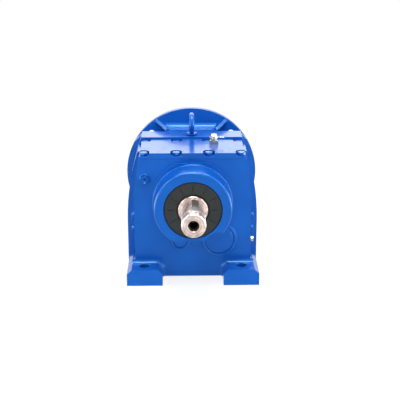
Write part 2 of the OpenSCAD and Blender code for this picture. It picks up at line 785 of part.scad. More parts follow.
module side_plugs()
    color(steel) for (side = [-1, 1]) for (z = side_pad_z)
        side_plug(side, side_pad_y, z, plug_head_r, plug_head_h, plug_shank_r);

module drain_plug()
    color(brass) side_plug(1, drain_y, drain_z, drain_d / 2 - 1, drain_head_h, drain_shank_r);

// Cap pressed into a bore, with its face a little proud of the ring round it
module bore_cap(x, z, y1, r) {
    y0 = wall_y - cap_ring_h - cap_proud;
    color(paint) union() {
        bar(x, z, y0 + cap_chamfer, y1, r);
        translate([x, y0, z]) rotate([-90, 0, 0])
            cylinder(h = cap_chamfer, r1 = r - cap_chamfer, r2 = r);
    }
}

module large_bore_cap() bore_cap(low_x, low_z, low_front_y, bearing_25_52[1] / 2 - seat_gap);
module small_bore_cap() bore_cap(-high_x, high_z, high_front_y, bearing_10_26[1] / 2 - seat_gap);

// Output shaft seal: a rubber-covered ring with fine radial grooves in its face
module output_oil_seal() {
    r = output_seal[0] / 2;
    lip_r = collar_d / 2 + lip_gap;
    color(rubber) difference() {
        turned() polygon([
            [lip_r, seal_y + 1.5], [lip_r + 2, seal_y], [r - 1, seal_y], [r - seat_gap, seal_y + 1],
            [r - seat_gap, ring_y], [r - 6, ring_y], [r - 6, seal_y + 3], [lip_r + 5, seal_y + 3],
            [lip_r + 4, ring_y - 2], [lip_r, ring_y - 2], [lip_r, seal_y + 4.5], [lip_r + 1.5, seal_y + 3]]);
        for (i = [0 : 11]) translate([0, seal_y, axis_height]) rotate([0, i * 30, 0])
            translate([r - 14, -eps, -0.4]) cube([12, eps + 0.6, 0.8]);
    }
}

module output_retaining_ring()
    color(dark_steel) snap_ring(0, axis_height, ring_y, ring_t, output_seal[0] / 2 - seat_gap,
                                output_seal[0] / 2 - output_ring_w, 18);

module input_oil_seal() {
    r = input_seal[0] / 2;
    lip_r = input_d / 2 + lip_gap;
    y1 = input_seal_y + input_seal[1];
    color(rubber) turned() polygon([
        [lip_r, input_seal_y + 1.5], [lip_r + 1.5, input_seal_y], [r - seat_gap, input_seal_y],
        [r - seat_gap, y1], [r - 3, y1], [r - 3, input_seal_y + 3], [lip_r + 3, input_seal_y + 3],
        [lip_r + 2.5, y1 - 2], [lip_r, y1 - 2]]);
}

module input_retaining_ring()
    color(dark_steel) snap_ring(0, axis_height, input_ring_y, input_ring_t, bearing_45_75[1] / 2 - seat_gap,
                                bearing_45_75[1] / 2 - input_ring_w, 14);

// Bearings: outer rings in the castings, inner rings on the shafts, balls between them

module output_front_bearing_outer() bearing_outer(bearing_45_100, 0, axis_height, output_front_y);
module output_front_bearing_inner() bearing_inner(bearing_45_100, 0, axis_height, output_front_y);
module output_front_balls() bearing_balls(bearing_45_100, 0, axis_height, output_front_y);
module output_rear_bearing_outer() bearing_outer(bearing_45_85, 0, axis_height, output_rear_y);
module output_rear_bearing_inner() bearing_inner(bearing_45_85, 0, axis_height, output_rear_y);
module output_rear_balls() bearing_balls(bearing_45_85, 0, axis_height, output_rear_y);
module low_front_bearing_outer() bearing_outer(bearing_25_52, low_x, low_z, low_front_y);
module low_front_bearing_inner() bearing_inner(bearing_25_52, low_x, low_z, low_front_y);
module low_front_balls() bearing_balls(bearing_25_52, low_x, low_z, low_front_y);
module low_rear_bearing_outer() bearing_outer(bearing_25_52, low_x, low_z, low_rear_y);
module low_rear_bearing_inner() bearing_inner(bearing_25_52, low_x, low_z, low_rear_y);
module low_rear_balls() bearing_balls(bearing_25_52, low_x, low_z, low_rear_y);
module high_front_bearing_outer() bearing_outer(bearing_10_26, -high_x, high_z, high_front_y);
module high_front_bearing_inner() bearing_inner(bearing_10_26, -high_x, high_z, high_front_y);
module high_front_balls() bearing_balls(bearing_10_26, -high_x, high_z, high_front_y);
module high_rear_bearing_outer() bearing_outer(bearing_20_47, -high_x, high_z, high_rear_y);
module high_rear_bearing_inner() bearing_inner(bearing_20_47, -high_x, high_z, high_rear_y);
module high_rear_balls() bearing_balls(bearing_20_47, -high_x, high_z, high_rear_y);
module input_front_bearing_outer() bearing_outer(bearing_45_75, 0, axis_height, input_front_y);
module input_front_bearing_inner() bearing_inner(bearing_45_75, 0, axis_height, input_front_y);
module input_front_balls() bearing_balls(bearing_45_75, 0, axis_height, input_front_y);
module input_rear_bearing_outer() bearing_outer(bearing_45_75, 0, axis_height, input_rear_y);
module input_rear_bearing_inner() bearing_inner(bearing_45_75, 0, axis_height, input_rear_y);
module input_rear_balls() bearing_balls(bearing_45_75, 0, axis_height, input_rear_y);

// Motor adapter

// Plate outline: a wide plate with a tongue that reaches down between the feet
module plate_outline(inset = 0) {
    top = plate_top - inset;
    low = plate_low_z + inset;
    half = plate_w / 2 - inset;
    translate([0, (top + low) / 2]) polygon(chamfered(2 * half, top - low, plate_corner));
    translate([0, (low + 5 + inset) / 2 + 5])
        polygon(chamfered(tongue_w - 2 * inset, low + 10 - 5 - inset, plate_corner));
}

module adapter_gasket()
    color(paper) difference() {
        slab(rear_y, plate_y) plate_outline(1);
        bar(0, axis_height, rear_y - eps, plate_y + eps, rear_open_r);
        bar(-high_x, high_z, rear_y - eps, plate_y + eps, high_open_r);
        bar(low_x, low_z, rear_y - eps, plate_y + eps, low_open_r);
        for (p = adapter_bolt_holes) bar(p[0], p[1], rear_y - eps, plate_y + eps, bolt_d / 2 + 0.5);
    }

module neck_outline()
    translate([0, axis_height]) polygon(chamfered(neck_w, neck_w, neck_w / 2 - neck_flat));

// Web from a corner of the neck out to the flange's rim, one side of a diagonal
module flange_rib() {
    neck_corner = [neck_flat, neck_w / 2];
    rim = (flange_d / 2 - 2) * [cos(56.5), sin(56.5)];
    along = rim - neck_corner;
    len = norm(along);
    rib_back = 7 - neck_len;
    translate([neck_corner[0], flange_y + eps, axis_height + neck_corner[1]])
        rotate([0, -atan2(along[1], along[0]), 0]) translate([-6, 0, -rib_t / 2])
            linear_extrude(height = rib_t)
                polygon([[0, 0], [len + 6, 0], [8, rib_back], [0, rib_back]]);
}

module motor_adapter() {
    inner_r = neck_w / 2 - neck_wall - 3;
    color(paint) difference() {
        union() {
            slab(plate_y, neck_y) plate_outline();
            difference() {
                union() {
                    slab(neck_y - eps, flange_y + eps) neck_outline();
                    bar(0, axis_height, flange_y, motor_y, flange_d / 2);
                }
                bar(0, axis_height, neck_y, motor_y + eps, inner_r);
            }
            for (turn = [0 : 90 : 270]) for (flip = [0, 1])
                translate([0, 0, axis_height]) rotate([0, turn, 0]) rotate([0, flip * 90, 0])
                    mirror([flip, 0, 0]) translate([0, 0, -axis_height]) flange_rib();
            bar(0, axis_height, neck_y - eps, input_bore_y, adapter_boss_d / 2);
            for (a = [0 : 60 : 300]) translate([0, neck_y - eps, axis_height]) rotate([0, a, 0])
                translate([adapter_boss_d / 2 - 1, 0, -3.5])
                    cube([inner_r - adapter_boss_d / 2 + 3, input_bore_y - neck_y - 8, 7]);
        }
        bar(0, axis_height, plate_y - eps, input_seal_y + input_seal[1], input_seal[0] / 2);
        bar(0, axis_height, input_seal_y, input_front_y + eps, bearing_45_75[1] / 2 - 8);
        bar(0, axis_height, input_front_y, motor_y + eps, bearing_45_75[1] / 2);
        bar(0, axis_height, motor_y - spigot_depth, motor_y + eps, spigot_d / 2);
        for (a = [45 : 90 : 315]) translate([0, 0, axis_height]) rotate([0, a, 0])
            translate([flange_pcd / 2, flange_y - eps, 0]) rotate([-90, 0, 0])
                cylinder(h = flange_t + 2 * eps, r = flange_hole_d / 2);
        for (p = adapter_bolt_holes) bar(p[0], p[1], plate_y - eps, neck_y + eps, bolt_d / 2 + bolt_clear);
    }
}

module adapter_bolts()
    color(steel) for (p = adapter_bolt_holes) translate([p[0], neck_y, p[1]]) rotate([-90, 0, 0])
        bolt_up(bolt_d - 2 * seat_gap, bolt_head_w, bolt_head_h, plate_t + gasket_t + bolt_grip);

// Output shaft

// Round-ended slot or key along Y
module round_end_key(w, y0, y1, z0, z1, x = 0)
    translate([x, 0, z0]) {
        for (y = [y0 + w / 2, y1 - w / 2]) translate([0, y, 0]) cylinder(h = z1 - z0, r = w / 2);
        translate([-w / 2, y0 + w / 2, 0]) cube([w, y1 - y0 - w, z1 - z0]);
    }

module output_shaft() {
    shaft_r = shaft_d / 2;
    key_y0 = shaft_end_y + key_end;
    end_y = partition_y1 + 4;
    thread_r = centre_thread / 2 - 1;
    ring_groove_y = partition_y1;
    groove_r = seat_d / 2 - groove_depth;
    color(steel) difference() {
        turned() polygon([
            [0, shaft_end_y], [shaft_r - shaft_chamfer, shaft_end_y], [shaft_r, shaft_end_y + shaft_chamfer],
            [shaft_r, boss_y - collar_proud], [collar_d / 2 - 0.5, boss_y - collar_proud],
            [collar_d / 2, boss_y - collar_proud + 0.5], [collar_d / 2, output_front_y],
            [seat_d / 2, output_front_y], [seat_d / 2, ring_groove_y], [groove_r, ring_groove_y],
            [groove_r, ring_groove_y + shaft_ring_t], [seat_d / 2, ring_groove_y + shaft_ring_t],
            [seat_d / 2, end_y - 1], [seat_d / 2 - 1, end_y], [0, end_y]]);
        translate([0, 0, axis_height]) rotate([0, key_turn, 0])
            round_end_key(key_w, key_y0, key_y0 + key_len, shaft_r - key_depth, shaft_r + eps);
        round_end_key(gear_key_w, output_gear_y + 1, output_gear_y + output_face - 1,
                       axis_height + seat_d / 2 - gear_key_depth, axis_height + seat_d / 2 + eps);
        bar(0, axis_height, shaft_end_y - eps, shaft_end_y + centre_depth, thread_r);
        turned() polygon([
            [0, shaft_end_y - eps], [thread_r + 3, shaft_end_y - eps], [thread_r + 3 - eps, shaft_end_y],
            [thread_r + 1, shaft_end_y + 2.5], [thread_r + 1, shaft_end_y + 4], [0, shaft_end_y + 4]]);
    }
}

module output_key() {
    z0 = shaft_d / 2 - key_depth;
    y0 = shaft_end_y + key_end;
    color(dark_steel) translate([0, 0, axis_height]) rotate([0, key_turn, 0])
        round_end_key(key_w - 2 * seat_gap, y0 + seat_gap, y0 + key_len - seat_gap, z0, z0 + key_h);
}

module output_gear_key() {
    z0 = axis_height + seat_d / 2 - gear_key_depth;
    color(dark_steel) round_end_key(gear_key_w - 2 * seat_gap, output_gear_y + 1 + seat_gap,
                                     output_gear_y + output_face - 1 - seat_gap, z0, z0 + gear_key_h);
}

module output_gear() {
    y1 = output_gear_y + output_face;
    key_top = seat_d / 2 - gear_key_depth + gear_key_h + key_top_gap;
    color(steel) difference() {
        toothed(0, axis_height, z_output, m_low, output_gear_y, y1, angle_low, 1);
        bar(0, axis_height, output_gear_y - eps, y1 + eps, seat_d / 2 + seat_gap);
        translate([-gear_key_w / 2, output_gear_y - eps, axis_height])
            cube([gear_key_w, output_face + 2 * eps, key_top]);
        web_recess(0, axis_height, output_gear_y, y1, 7, m_low * z_output / 2 - 10, seat_d / 2 + 12);
    }
}

module output_front_spacer()
    color(steel) ring(0, axis_height, output_bore_end, output_gear_y, seat_d / 2 + spacer_w,
                      seat_d / 2 + seat_gap);

module output_rear_spacer()
    color(steel) ring(0, axis_height, output_gear_y + output_face, output_rear_y, seat_d / 2 + spacer_w,
                      seat_d / 2 + seat_gap);

module output_shaft_ring()
    color(dark_steel) snap_ring(0, axis_height, partition_y1, shaft_ring_t, seat_d / 2 + 4,
                                seat_d / 2 - groove_depth + seat_gap, 8);

// Low-speed countershaft, with its pinion cut into the shaft

module low_pinion_shaft() {
    mid_y = output_gear_y + output_face / 2;
    half = (output_face + pinion_extra) / 2;
    seat = bearing_25_52[0] / 2;
    gear_r = low_shaft_d / 2;
    color(steel) difference() {
        union() {
            toothed(low_x, low_z, z_low_pinion, m_low, mid_y - half, mid_y + half,
                    angle_low + 180 + 180 / z_low_pinion, -1);
            turned(low_x, low_z) polygon([
                [0, low_front_y + 0.5], [seat - 1, low_front_y + 0.5], [seat, low_front_y + 1.5],
                [seat, low_front_y + bearing_25_52[2]], [gear_r, low_front_y + bearing_25_52[2]],
                [gear_r, low_rear_y], [seat, low_rear_y], [seat, partition_y1 + 1],
                [seat - 1, partition_y1 + 2], [0, partition_y1 + 2]]);
        }
        round_end_key(low_key_w, low_gear_y + 1, low_gear_y + low_face - 1,
                       low_z + gear_r - low_key_depth, low_z + gear_r + eps, low_x);
    }
}

module low_gear() {
    y1 = low_gear_y + low_face;
    bore_r = low_shaft_d / 2 + seat_gap;
    color(steel) difference() {
        toothed(low_x, low_z, z_low_gear, m_mid, low_gear_y, y1, angle_mid, -1);
        bar(low_x, low_z, low_gear_y - eps, y1 + eps, bore_r);
        translate([low_x - low_key_w / 2, low_gear_y - eps, low_z])
            cube([low_key_w, low_face + 2 * eps, low_shaft_d / 2 - low_key_depth + low_key_h + key_top_gap]);
        web_recess(low_x, low_z, low_gear_y, y1, 5, m_mid * z_low_gear / 2 - 9, bore_r + 9);
    }
}

module low_gear_key() {
    z0 = low_z + low_shaft_d / 2 - low_key_depth;
    color(dark_steel) round_end_key(low_key_w - 2 * seat_gap, low_gear_y + 1 + seat_gap,
                                     low_gear_y + low_face - 1 - seat_gap, z0, z0 + low_key_h, low_x);
}

// High-speed countershaft, with its pinion cut into the shaft

module high_pinion_shaft() {
    mid_y = low_gear_y + low_face / 2;
    half = (low_face + pinion_extra) / 2;
    thin = bearing_10_26[0] / 2;
    front_r = high_shaft_d / 2;
    seat = bearing_20_47[0] / 2;
    front_end = high_front_y + bearing_10_26[2];
    end_y = high_gear_y + high_face + 2;
    color(steel) union() {
        toothed(-high_x, high_z, z_high_pinion, m_mid, mid_y - half, mid_y + half,
                angle_mid + 180 + 180 / z_high_pinion, 1);
        turned(-high_x, high_z) polygon([
            [0, high_front_y + 0.5], [thin - 0.5, high_front_y + 0.5], [thin, high_front_y + 1],
            [thin, front_end], [front_r, front_end], [front_r, mid_y - half - 8],
            [high_seat_d / 2, mid_y - half - 2], [high_seat_d / 2, high_rear_y], [seat, high_rear_y],
            [seat, end_y - 1], [seat - 1, end_y], [0, end_y]]);
    }
}

module high_gear() {
    y1 = high_gear_y + high_face;
    bore_r = bearing_20_47[0] / 2 + seat_gap;
    hub_r = bore_r + 3.5;
    color(steel) difference() {
        union() {
            toothed(-high_x, high_z, z_high_gear, m_high, high_gear_y, y1, angle_high + 180, 1);
            bar(-high_x, high_z, partition_y1, high_gear_y + eps, hub_r);
        }
        bar(-high_x, high_z, partition_y1 - eps, y1 + eps, bore_r);
        web_recess(-high_x, high_z, high_gear_y, y1, 4, m_high * z_high_gear / 2 - 8, bore_r + 8);
    }
}

// Input side

module input_pinion() {
    mid_y = high_gear_y + high_face / 2;
    half = (high_face + pinion_extra) / 2;
    color(steel) difference() {
        toothed(0, axis_height, z_input, m_high, mid_y - half, mid_y + half, angle_high + 180 / z_input, -1);
        bar(0, axis_height, mid_y - half - eps, mid_y + half + eps, input_stub_d / 2 + seat_gap);
    }
}

module input_shaft() {
    mid_y = high_gear_y + high_face / 2;
    half = (high_face + pinion_extra) / 2;
    bore_r = motor_bore_d / 2;
    color(steel) difference() {
        turned() polygon([
            [0, mid_y - half], [input_stub_d / 2 - 1, mid_y - half], [input_stub_d / 2, mid_y - half + 1],
            [input_stub_d / 2, mid_y + half], [input_d / 2, mid_y + half],
            [input_d / 2, input_end_y - 1], [input_d / 2 - 1, input_end_y], [0, input_end_y]]);
        bar(0, axis_height, input_end_y - motor_bore_len, input_end_y + eps, bore_r);
        translate([-motor_key_w / 2, input_end_y - motor_bore_len, axis_height])
            cube([motor_key_w, motor_bore_len + eps, bore_r + 3.3]);
    }
}

housing();
inspection_cover();
cover_gasket();
cover_bolts();
lifting_eye_bolt();
breather_body();
breather_cap();
breather_clip();
oil_level_plug();
side_plugs();
drain_plug();
large_bore_cap();
small_bore_cap();
output_oil_seal();
output_retaining_ring();
output_front_bearing_outer();
output_rear_bearing_outer();
low_front_bearing_outer();
low_rear_bearing_outer();
high_front_bearing_outer();
high_rear_bearing_outer();
adapter_gasket();
motor_adapter();
adapter_bolts();
input_oil_seal();
input_retaining_ring();
input_front_bearing_outer();
input_rear_bearing_outer();
output_shaft();
output_key();
output_front_bearing_inner();
output_front_spacer();
output_gear();
output_gear_key();
output_rear_spacer();
output_rear_bearing_inner();
output_shaft_ring();
low_pinion_shaft();
low_gear();
low_gear_key();
low_front_bearing_inner();
low_rear_bearing_inner();
high_pinion_shaft();
high_gear();
high_front_bearing_inner();
high_rear_bearing_inner();
input_shaft();
input_pinion();
input_front_bearing_inner();
input_rear_bearing_inner();
output_front_balls();
output_rear_balls();
low_front_balls();
low_rear_balls();
high_front_balls();
high_rear_balls();
input_front_balls();
input_rear_balls();
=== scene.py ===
import json
import math

import bmesh
import bpy
from bpy.props import FloatProperty, IntProperty, PointerProperty
from mathutils import Matrix, Vector

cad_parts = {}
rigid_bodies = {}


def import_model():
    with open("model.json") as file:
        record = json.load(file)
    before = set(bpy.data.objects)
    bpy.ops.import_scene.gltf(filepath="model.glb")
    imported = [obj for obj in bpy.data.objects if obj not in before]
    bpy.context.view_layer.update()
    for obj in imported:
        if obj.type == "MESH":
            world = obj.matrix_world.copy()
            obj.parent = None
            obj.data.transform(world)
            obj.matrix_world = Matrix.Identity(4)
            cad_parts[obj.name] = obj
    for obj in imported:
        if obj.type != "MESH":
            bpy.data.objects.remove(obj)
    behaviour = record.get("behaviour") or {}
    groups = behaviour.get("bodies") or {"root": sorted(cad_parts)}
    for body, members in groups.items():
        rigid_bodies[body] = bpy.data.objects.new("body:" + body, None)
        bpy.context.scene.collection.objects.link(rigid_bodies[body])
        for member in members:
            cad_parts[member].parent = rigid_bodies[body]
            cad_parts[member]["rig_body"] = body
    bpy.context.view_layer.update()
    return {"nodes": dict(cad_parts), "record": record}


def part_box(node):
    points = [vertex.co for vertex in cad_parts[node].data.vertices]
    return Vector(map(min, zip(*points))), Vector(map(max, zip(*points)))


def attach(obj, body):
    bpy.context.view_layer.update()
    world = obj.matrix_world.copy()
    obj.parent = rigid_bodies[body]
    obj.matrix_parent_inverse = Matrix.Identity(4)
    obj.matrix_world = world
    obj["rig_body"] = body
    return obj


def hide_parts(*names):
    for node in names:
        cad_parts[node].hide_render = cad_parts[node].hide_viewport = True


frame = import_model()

bl_info = {
    "name": "Helical Gear Reducer",
    "version": (1, 0, 0),
    "blender": (4, 5, 0),
    "location": "View3D > Sidebar > Reducer",
    "description": "Finishes a packed gear reducer: castings, fasteners, shaft, seal, fittings and a studio",
    "category": "Object",
}

MM = 0.001
# faces round a turned form
SPIN_STEPS = 96
# points of a CAD mesh that lie closer than this are one
SAME_POINT = 0.002 * MM
# how deep a cast blend reaches into the castings that it joins
SINK = 0.4 * MM
# the cover and adapter bolts are M8, with a little clearance in their holes
BOLT_SHANK_R = 4 * MM - 0.02 * MM
BOLT_EDGE = 0.3 * MM
# name, place, width, height and watts of each lamp, and whether it is a strip that only
# shows as a highlight on gloss and lights no surface
LAMPS = (
    ("top_softbox", (0.0, -0.35, 1.5), 0.9, 0.5, 22.0, False),
    ("back_softbox", (0.0, 1.9, 1.75), 2.6, 0.9, 34.0, False),
    ("low_back_softbox", (-0.1, 2.3, 0.95), 3.0, 0.6, 7.0, False),
    ("left_softbox", (-1.6, -0.9, 0.9), 0.35, 1.2, 13.0, False),
    ("right_softbox", (1.6, -0.7, 0.8), 0.35, 1.2, 13.0, False),
    ("front_softbox", (0.25, -2.2, 1.3), 0.9, 0.6, 11.0, False),
    ("overhead_strip", (0.0, -0.3, 1.7), 0.45, 1.6, 20.0, True),
    ("left_strip", (-1.15, -0.1, 1.45), 0.28, 1.8, 26.0, True),
    ("right_strip", (1.25, -0.1, 1.4), 0.28, 1.8, 26.0, True),
    ("left_edge_strip", (-0.5, -0.15, 0.12), 1.2, 0.24, 4.5, True),
    ("right_edge_strip", (0.5, -0.15, 0.12), 1.2, 0.24, 4.5, True),
)
# where the camera and the lamps point
CAMERA_AIM = (9.995 * MM, -212.5 * MM, 184.18 * MM)
LAMP_AIM = (0, -0.03, 0.13)


# ---------------------------------------------------------------- colours and nodes

def hex_rgb(code):
    """Linear RGB of an sRGB hex colour such as 1A5FC4."""
    channels = [int(code[i:i + 2], 16) / 255 for i in (0, 2, 4)]
    return tuple(c / 12.92 if c <= 0.04045 else ((c + 0.055) / 1.055) ** 2.4 for c in channels)


def rgba(code):
    return (*hex_rgb(code), 1.0)


def add_node(tree, kind, inputs=None, **settings):
    """Adds a node. An input value that is a socket is linked, and any other is set."""
    node = tree.nodes.new(kind)
    for name, value in settings.items():
        setattr(node, name, value)
    for name, value in (inputs or {}).items():
        socket = node.inputs[name]
        if isinstance(value, bpy.types.NodeSocket):
            tree.links.new(value, socket)
        else:
            socket.default_value = value
    return node


def new_material(name):
    """An empty node material, with its output node. The name must be free."""
    if name in bpy.data.materials:
        raise ValueError("material name is taken: " + name)
    material = bpy.data.materials.new(name)
    material.use_nodes = True
    material.node_tree.nodes.clear()
    return material, material.node_tree, add_node(material.node_tree, "ShaderNodeOutputMaterial")


def finish_material(tree, output, shader):
    tree.links.new(shader.outputs[0], output.inputs["Surface"])


def two_tones(tree, amount, first, second, start=0.3, end=0.7):
    """A colour that goes from one hex colour to another as the amount goes from start to end."""
    tone = add_node(tree, "ShaderNodeMapRange", {"Value": amount, "From Min": start, "From Max": end,
                                                 "To Min": 0.0, "To Max": 1.0})
    mix = add_node(tree, "ShaderNodeMix", {"Factor": tone.outputs[0], "A": rgba(first),
                                           "B": rgba(second)}, data_type="RGBA")
    return mix.outputs["Result"]


def seen_ray(tree):
    """The light path, and a value of 1 where a ray sees, mirrors or looks through to the backdrop."""
    ray = add_node(tree, "ShaderNodeLightPath")
    seen = add_node(tree, "ShaderNodeMath", {0: ray.outputs["Is Camera Ray"],
                                             1: ray.outputs["Is Glossy Ray"]}, operation="MAXIMUM")
    shown = add_node(tree, "ShaderNodeMath", {0: seen.outputs[0],
                                              1: ray.outputs["Is Transmission Ray"]},
                     operation="MAXIMUM")
    return ray, shown.outputs[0]


def gloss_alkyd_enamel(name, colour, dust, sheen):
    """Alkyd gloss enamel sprayed thick over a sand casting: a wet gloss whose highlights
    waver over an orange peel of about 2 mm, with the casting's slow swells under it."""
    material, tree, output = new_material(name)
    place = add_node(tree, "ShaderNodeTexCoord").outputs["Object"]
    # orange peel, cells of about 2 mm
    peel = add_node(tree, "ShaderNodeTexNoise", {"Vector": place, "Scale": 480.0, "Detail": 2.0,
                                                 "Roughness": 0.45})
    # swells of the sand mould, about 14 mm across
    swell = add_node(tree, "ShaderNodeTexNoise", {"Vector": place, "Scale": 70.0, "Detail": 1.0})
    # film thickness, which shows as a slow change of tone over about 60 mm
    film = add_node(tree, "ShaderNodeTexNoise", {"Vector": place, "Scale": 16.0, "Detail": 3.0})
    base = two_tones(tree, film.outputs["Fac"], colour, dust)
    rough = add_node(tree, "ShaderNodeMapRange", {"Value": swell.outputs["Fac"], "From Min": 0.3,
                                                  "From Max": 0.7, "To Min": 0.16, "To Max": 0.24})
    swells = add_node(tree, "ShaderNodeBump", {"Height": swell.outputs["Fac"], "Strength": 0.12,
                                               "Distance": 0.6 * MM})
    peels = add_node(tree, "ShaderNodeBump", {"Height": peel.outputs["Fac"], "Strength": 0.1,
                                              "Distance": 0.15 * MM, "Normal": swells.outputs[0]})
    shader = add_node(tree, "ShaderNodeBsdfPrincipled", {
        "Base Color": base, "Roughness": rough.outputs[0],
        "Normal": peels.outputs[0], "IOR": 1.5, "Specular Tint": rgba(sheen),
        "Coat Weight": 0.15, "Coat Roughness": 0.07, "Coat Normal": swells.outputs[0]})
    finish_material(tree, output, shader)
    return material


def machined_steel(name, light, dark, roughness, lay_mm, axis_height, metallic=1.0, anisotropy=0.5):
    """Turned or ground steel. Tool marks run round the shaft axis, drawn coarser than the
    real 0.1 mm feed so that they still show as a fine lay."""
    material, tree, output = new_material(name)
    place = add_node(tree, "ShaderNodeTexCoord").outputs["Object"]
    centred = add_node(tree, "ShaderNodeMapping", {"Vector": place, "Location": (0, 0, -axis_height)})
    split = add_node(tree, "ShaderNodeSeparateXYZ", {"Vector": centred.outputs[0]})
    flat = add_node(tree, "ShaderNodeCombineXYZ", {"X": split.outputs["X"], "Y": split.outputs["Z"]})
    radius = add_node(tree, "ShaderNodeVectorMath", {0: flat.outputs[0]}, operation="LENGTH")
    lay_place = add_node(tree, "ShaderNodeCombineXYZ", {"X": split.outputs["Y"],
                                                        "Y": radius.outputs["Value"]})
    # one cell of the stretched noise is one tool mark
    lay = add_node(tree, "ShaderNodeTexNoise", {"Vector": lay_place.outputs[0],
                                                "Scale": 1 / (lay_mm * MM), "Detail": 2.0,
                                                "Roughness": 0.6})
    # handling stains, about 11 mm across
    stain = add_node(tree, "ShaderNodeTexNoise", {"Vector": place, "Scale": 90.0, "Detail": 3.0})
    blend = add_node(tree, "ShaderNodeMath", {0: lay.outputs["Fac"], 1: stain.outputs["Fac"]},
                     operation="MULTIPLY")
    base = two_tones(tree, blend.outputs[0], dark, light, 0.12, 0.36)
    rough = add_node(tree, "ShaderNodeMapRange", {"Value": lay.outputs["Fac"], "From Min": 0.3,
                                                  "From Max": 0.7, "To Min": roughness - 0.06,
                                                  "To Max": roughness + 0.08})
    marks = add_node(tree, "ShaderNodeBump", {"Height": lay.outputs["Fac"], "Strength": 0.2,
                                              "Distance": 0.08 * MM})
    # the marks run square to the axis and to the radius, which stretches highlights across them
    round_axis = add_node(tree, "ShaderNodeVectorMath", {0: centred.outputs[0], 1: (0, 1, 0)},
                          operation="CROSS_PRODUCT")
    lay_way = add_node(tree, "ShaderNodeVectorTransform", {"Vector": round_axis.outputs[0]},
                       vector_type="VECTOR", convert_from="OBJECT", convert_to="WORLD")
    shader = add_node(tree, "ShaderNodeBsdfPrincipled", {
        "Base Color": base, "Roughness": rough.outputs[0],
        "Metallic": metallic, "Normal": marks.outputs[0], "Anisotropic": anisotropy,
        "Anisotropic Rotation": 0.25, "Tangent": lay_way.outputs[0]})
    finish_material(tree, output, shader)
    return material


def grained_surface(name, light, dark, roughness, grain_mm, bump, metallic=0.0, specular=0.5):
    """Moulded, plated or pressed stock: an even skin with a fine random grain."""
    material, tree, output = new_material(name)
    place = add_node(tree, "ShaderNodeTexCoord").outputs["Object"]
    grain = add_node(tree, "ShaderNodeTexNoise", {"Vector": place, "Scale": 1 / (grain_mm * MM),
                                                  "Detail": 3.0, "Roughness": 0.6})
    base = two_tones(tree, grain.outputs["Fac"], dark, light)
    rough = add_node(tree, "ShaderNodeMapRange", {"Value": grain.outputs["Fac"], "From Min": 0.3,
                                                  "From Max": 0.7, "To Min": roughness - 0.05,
                                                  "To Max": roughness + 0.07})
    pits = add_node(tree, "ShaderNodeBump", {"Height": grain.outputs["Fac"], "Strength": bump,
                                             "Distance": 0.1 * MM})
    shader = add_node(tree, "ShaderNodeBsdfPrincipled", {
        "Base Color": base, "Roughness": rough.outputs[0],
        "Metallic": metallic, "Normal": pits.outputs[0], "Specular IOR Level": specular})
    finish_material(tree, output, shader)
    return material


# ---------------------------------------------------------------- mesh helpers

def material_named(name):
    return bpy.data.materials[name]


def piece_from(bm, name, material, smooth_angle=35):
    """A finished object from a bmesh, at the origin, smooth except over sharp edges."""
    mesh = bpy.data.meshes.new(name)
    bm.to_mesh(mesh)
    bm.free()
    mesh.materials.append(material_named(material))
    mesh.shade_smooth()
    mesh.set_sharp_from_angle(angle=math.radians(smooth_angle))
    piece = bpy.data.objects.new(name, mesh)
    bpy.context.scene.collection.objects.link(piece)
    return piece


def merged_copy(node):
    """A bmesh of a CAD node with its loose triangles joined and its flat faces whole."""
    bm = bmesh.new()
    bm.from_mesh(frame["nodes"][node].data)
    bmesh.ops.remove_doubles(bm, verts=bm.verts, dist=SAME_POINT)
    bmesh.ops.dissolve_degenerate(bm, edges=bm.edges, dist=SAME_POINT)
    bmesh.ops.dissolve_limit(bm, angle_limit=math.radians(0.6), verts=bm.verts, edges=bm.edges)
    for face in bm.faces:
        face.material_index = 0
    return bm


def bevel_modifier(piece, radius, segments, angle):
    edge = piece.modifiers.new("edge_radius", "BEVEL")
    edge.width = radius
    edge.segments = segments
    edge.limit_method = "ANGLE"
    edge.angle_limit = math.radians(angle)
    edge.use_clamp_overlap = True
    edge.miter_outer = "MITER_ARC"
    edge.harden_normals = False
    return edge


def rides_on(piece, node):
    """Makes a new piece ride with a CAD node that stays."""
    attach(piece, frame["nodes"][node]["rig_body"])


def stands_for(piece, node):
    """Makes a new piece ride with a CAD node and stand for it."""
    rides_on(piece, node)
    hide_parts(node)


def soft_edged(node, name, material, radius, segments=2, angle=40):
    """A copy of a CAD node with rounded edges, which stands for that node."""
    piece = piece_from(merged_copy(node), name, material)
    bevel_modifier(piece, radius, segments, angle)
    # the large faces keep their own normals, so that only the edges turn
    even = piece.modifiers.new("face_normals", "WEIGHTED_NORMAL")
    even.keep_sharp = True
    stands_for(piece, node)


def spun(bm, profile, centre, axis, steps=SPIN_STEPS):
    """Spins a closed or axis-to-axis outline of points round an axis into a solid."""
    verts = [bm.verts.new(point) for point in profile]
    edges = [bm.edges.new(pair) for pair in zip(verts, verts[1:])]
    bmesh.ops.spin(bm, geom=verts + edges, cent=centre, axis=axis, angle=math.tau, steps=steps,
                   use_merge=True)
    bmesh.ops.remove_doubles(bm, verts=bm.verts, dist=SAME_POINT)
    bmesh.ops.recalc_face_normals(bm, faces=bm.faces)


def turned(bm, outline, axis):
    """Spins an outline of (radius, y) points round an axis along Y."""
    spun(bm, [(axis[0] + r, y, axis[2]) for r, y in outline], axis, (0, 1, 0))


def hollow_blend(radius):
    """Section of a hollow blend: how far each point lies from the one face and from the other."""
    arc = [math.radians(a) for a in range(0, 91, 15)]
    return [(-SINK, -SINK), (radius, -SINK)] + [
        (radius * (1 - math.sin(a)), radius * (1 - math.cos(a))) for a in arc] + [(-SINK, radius)]


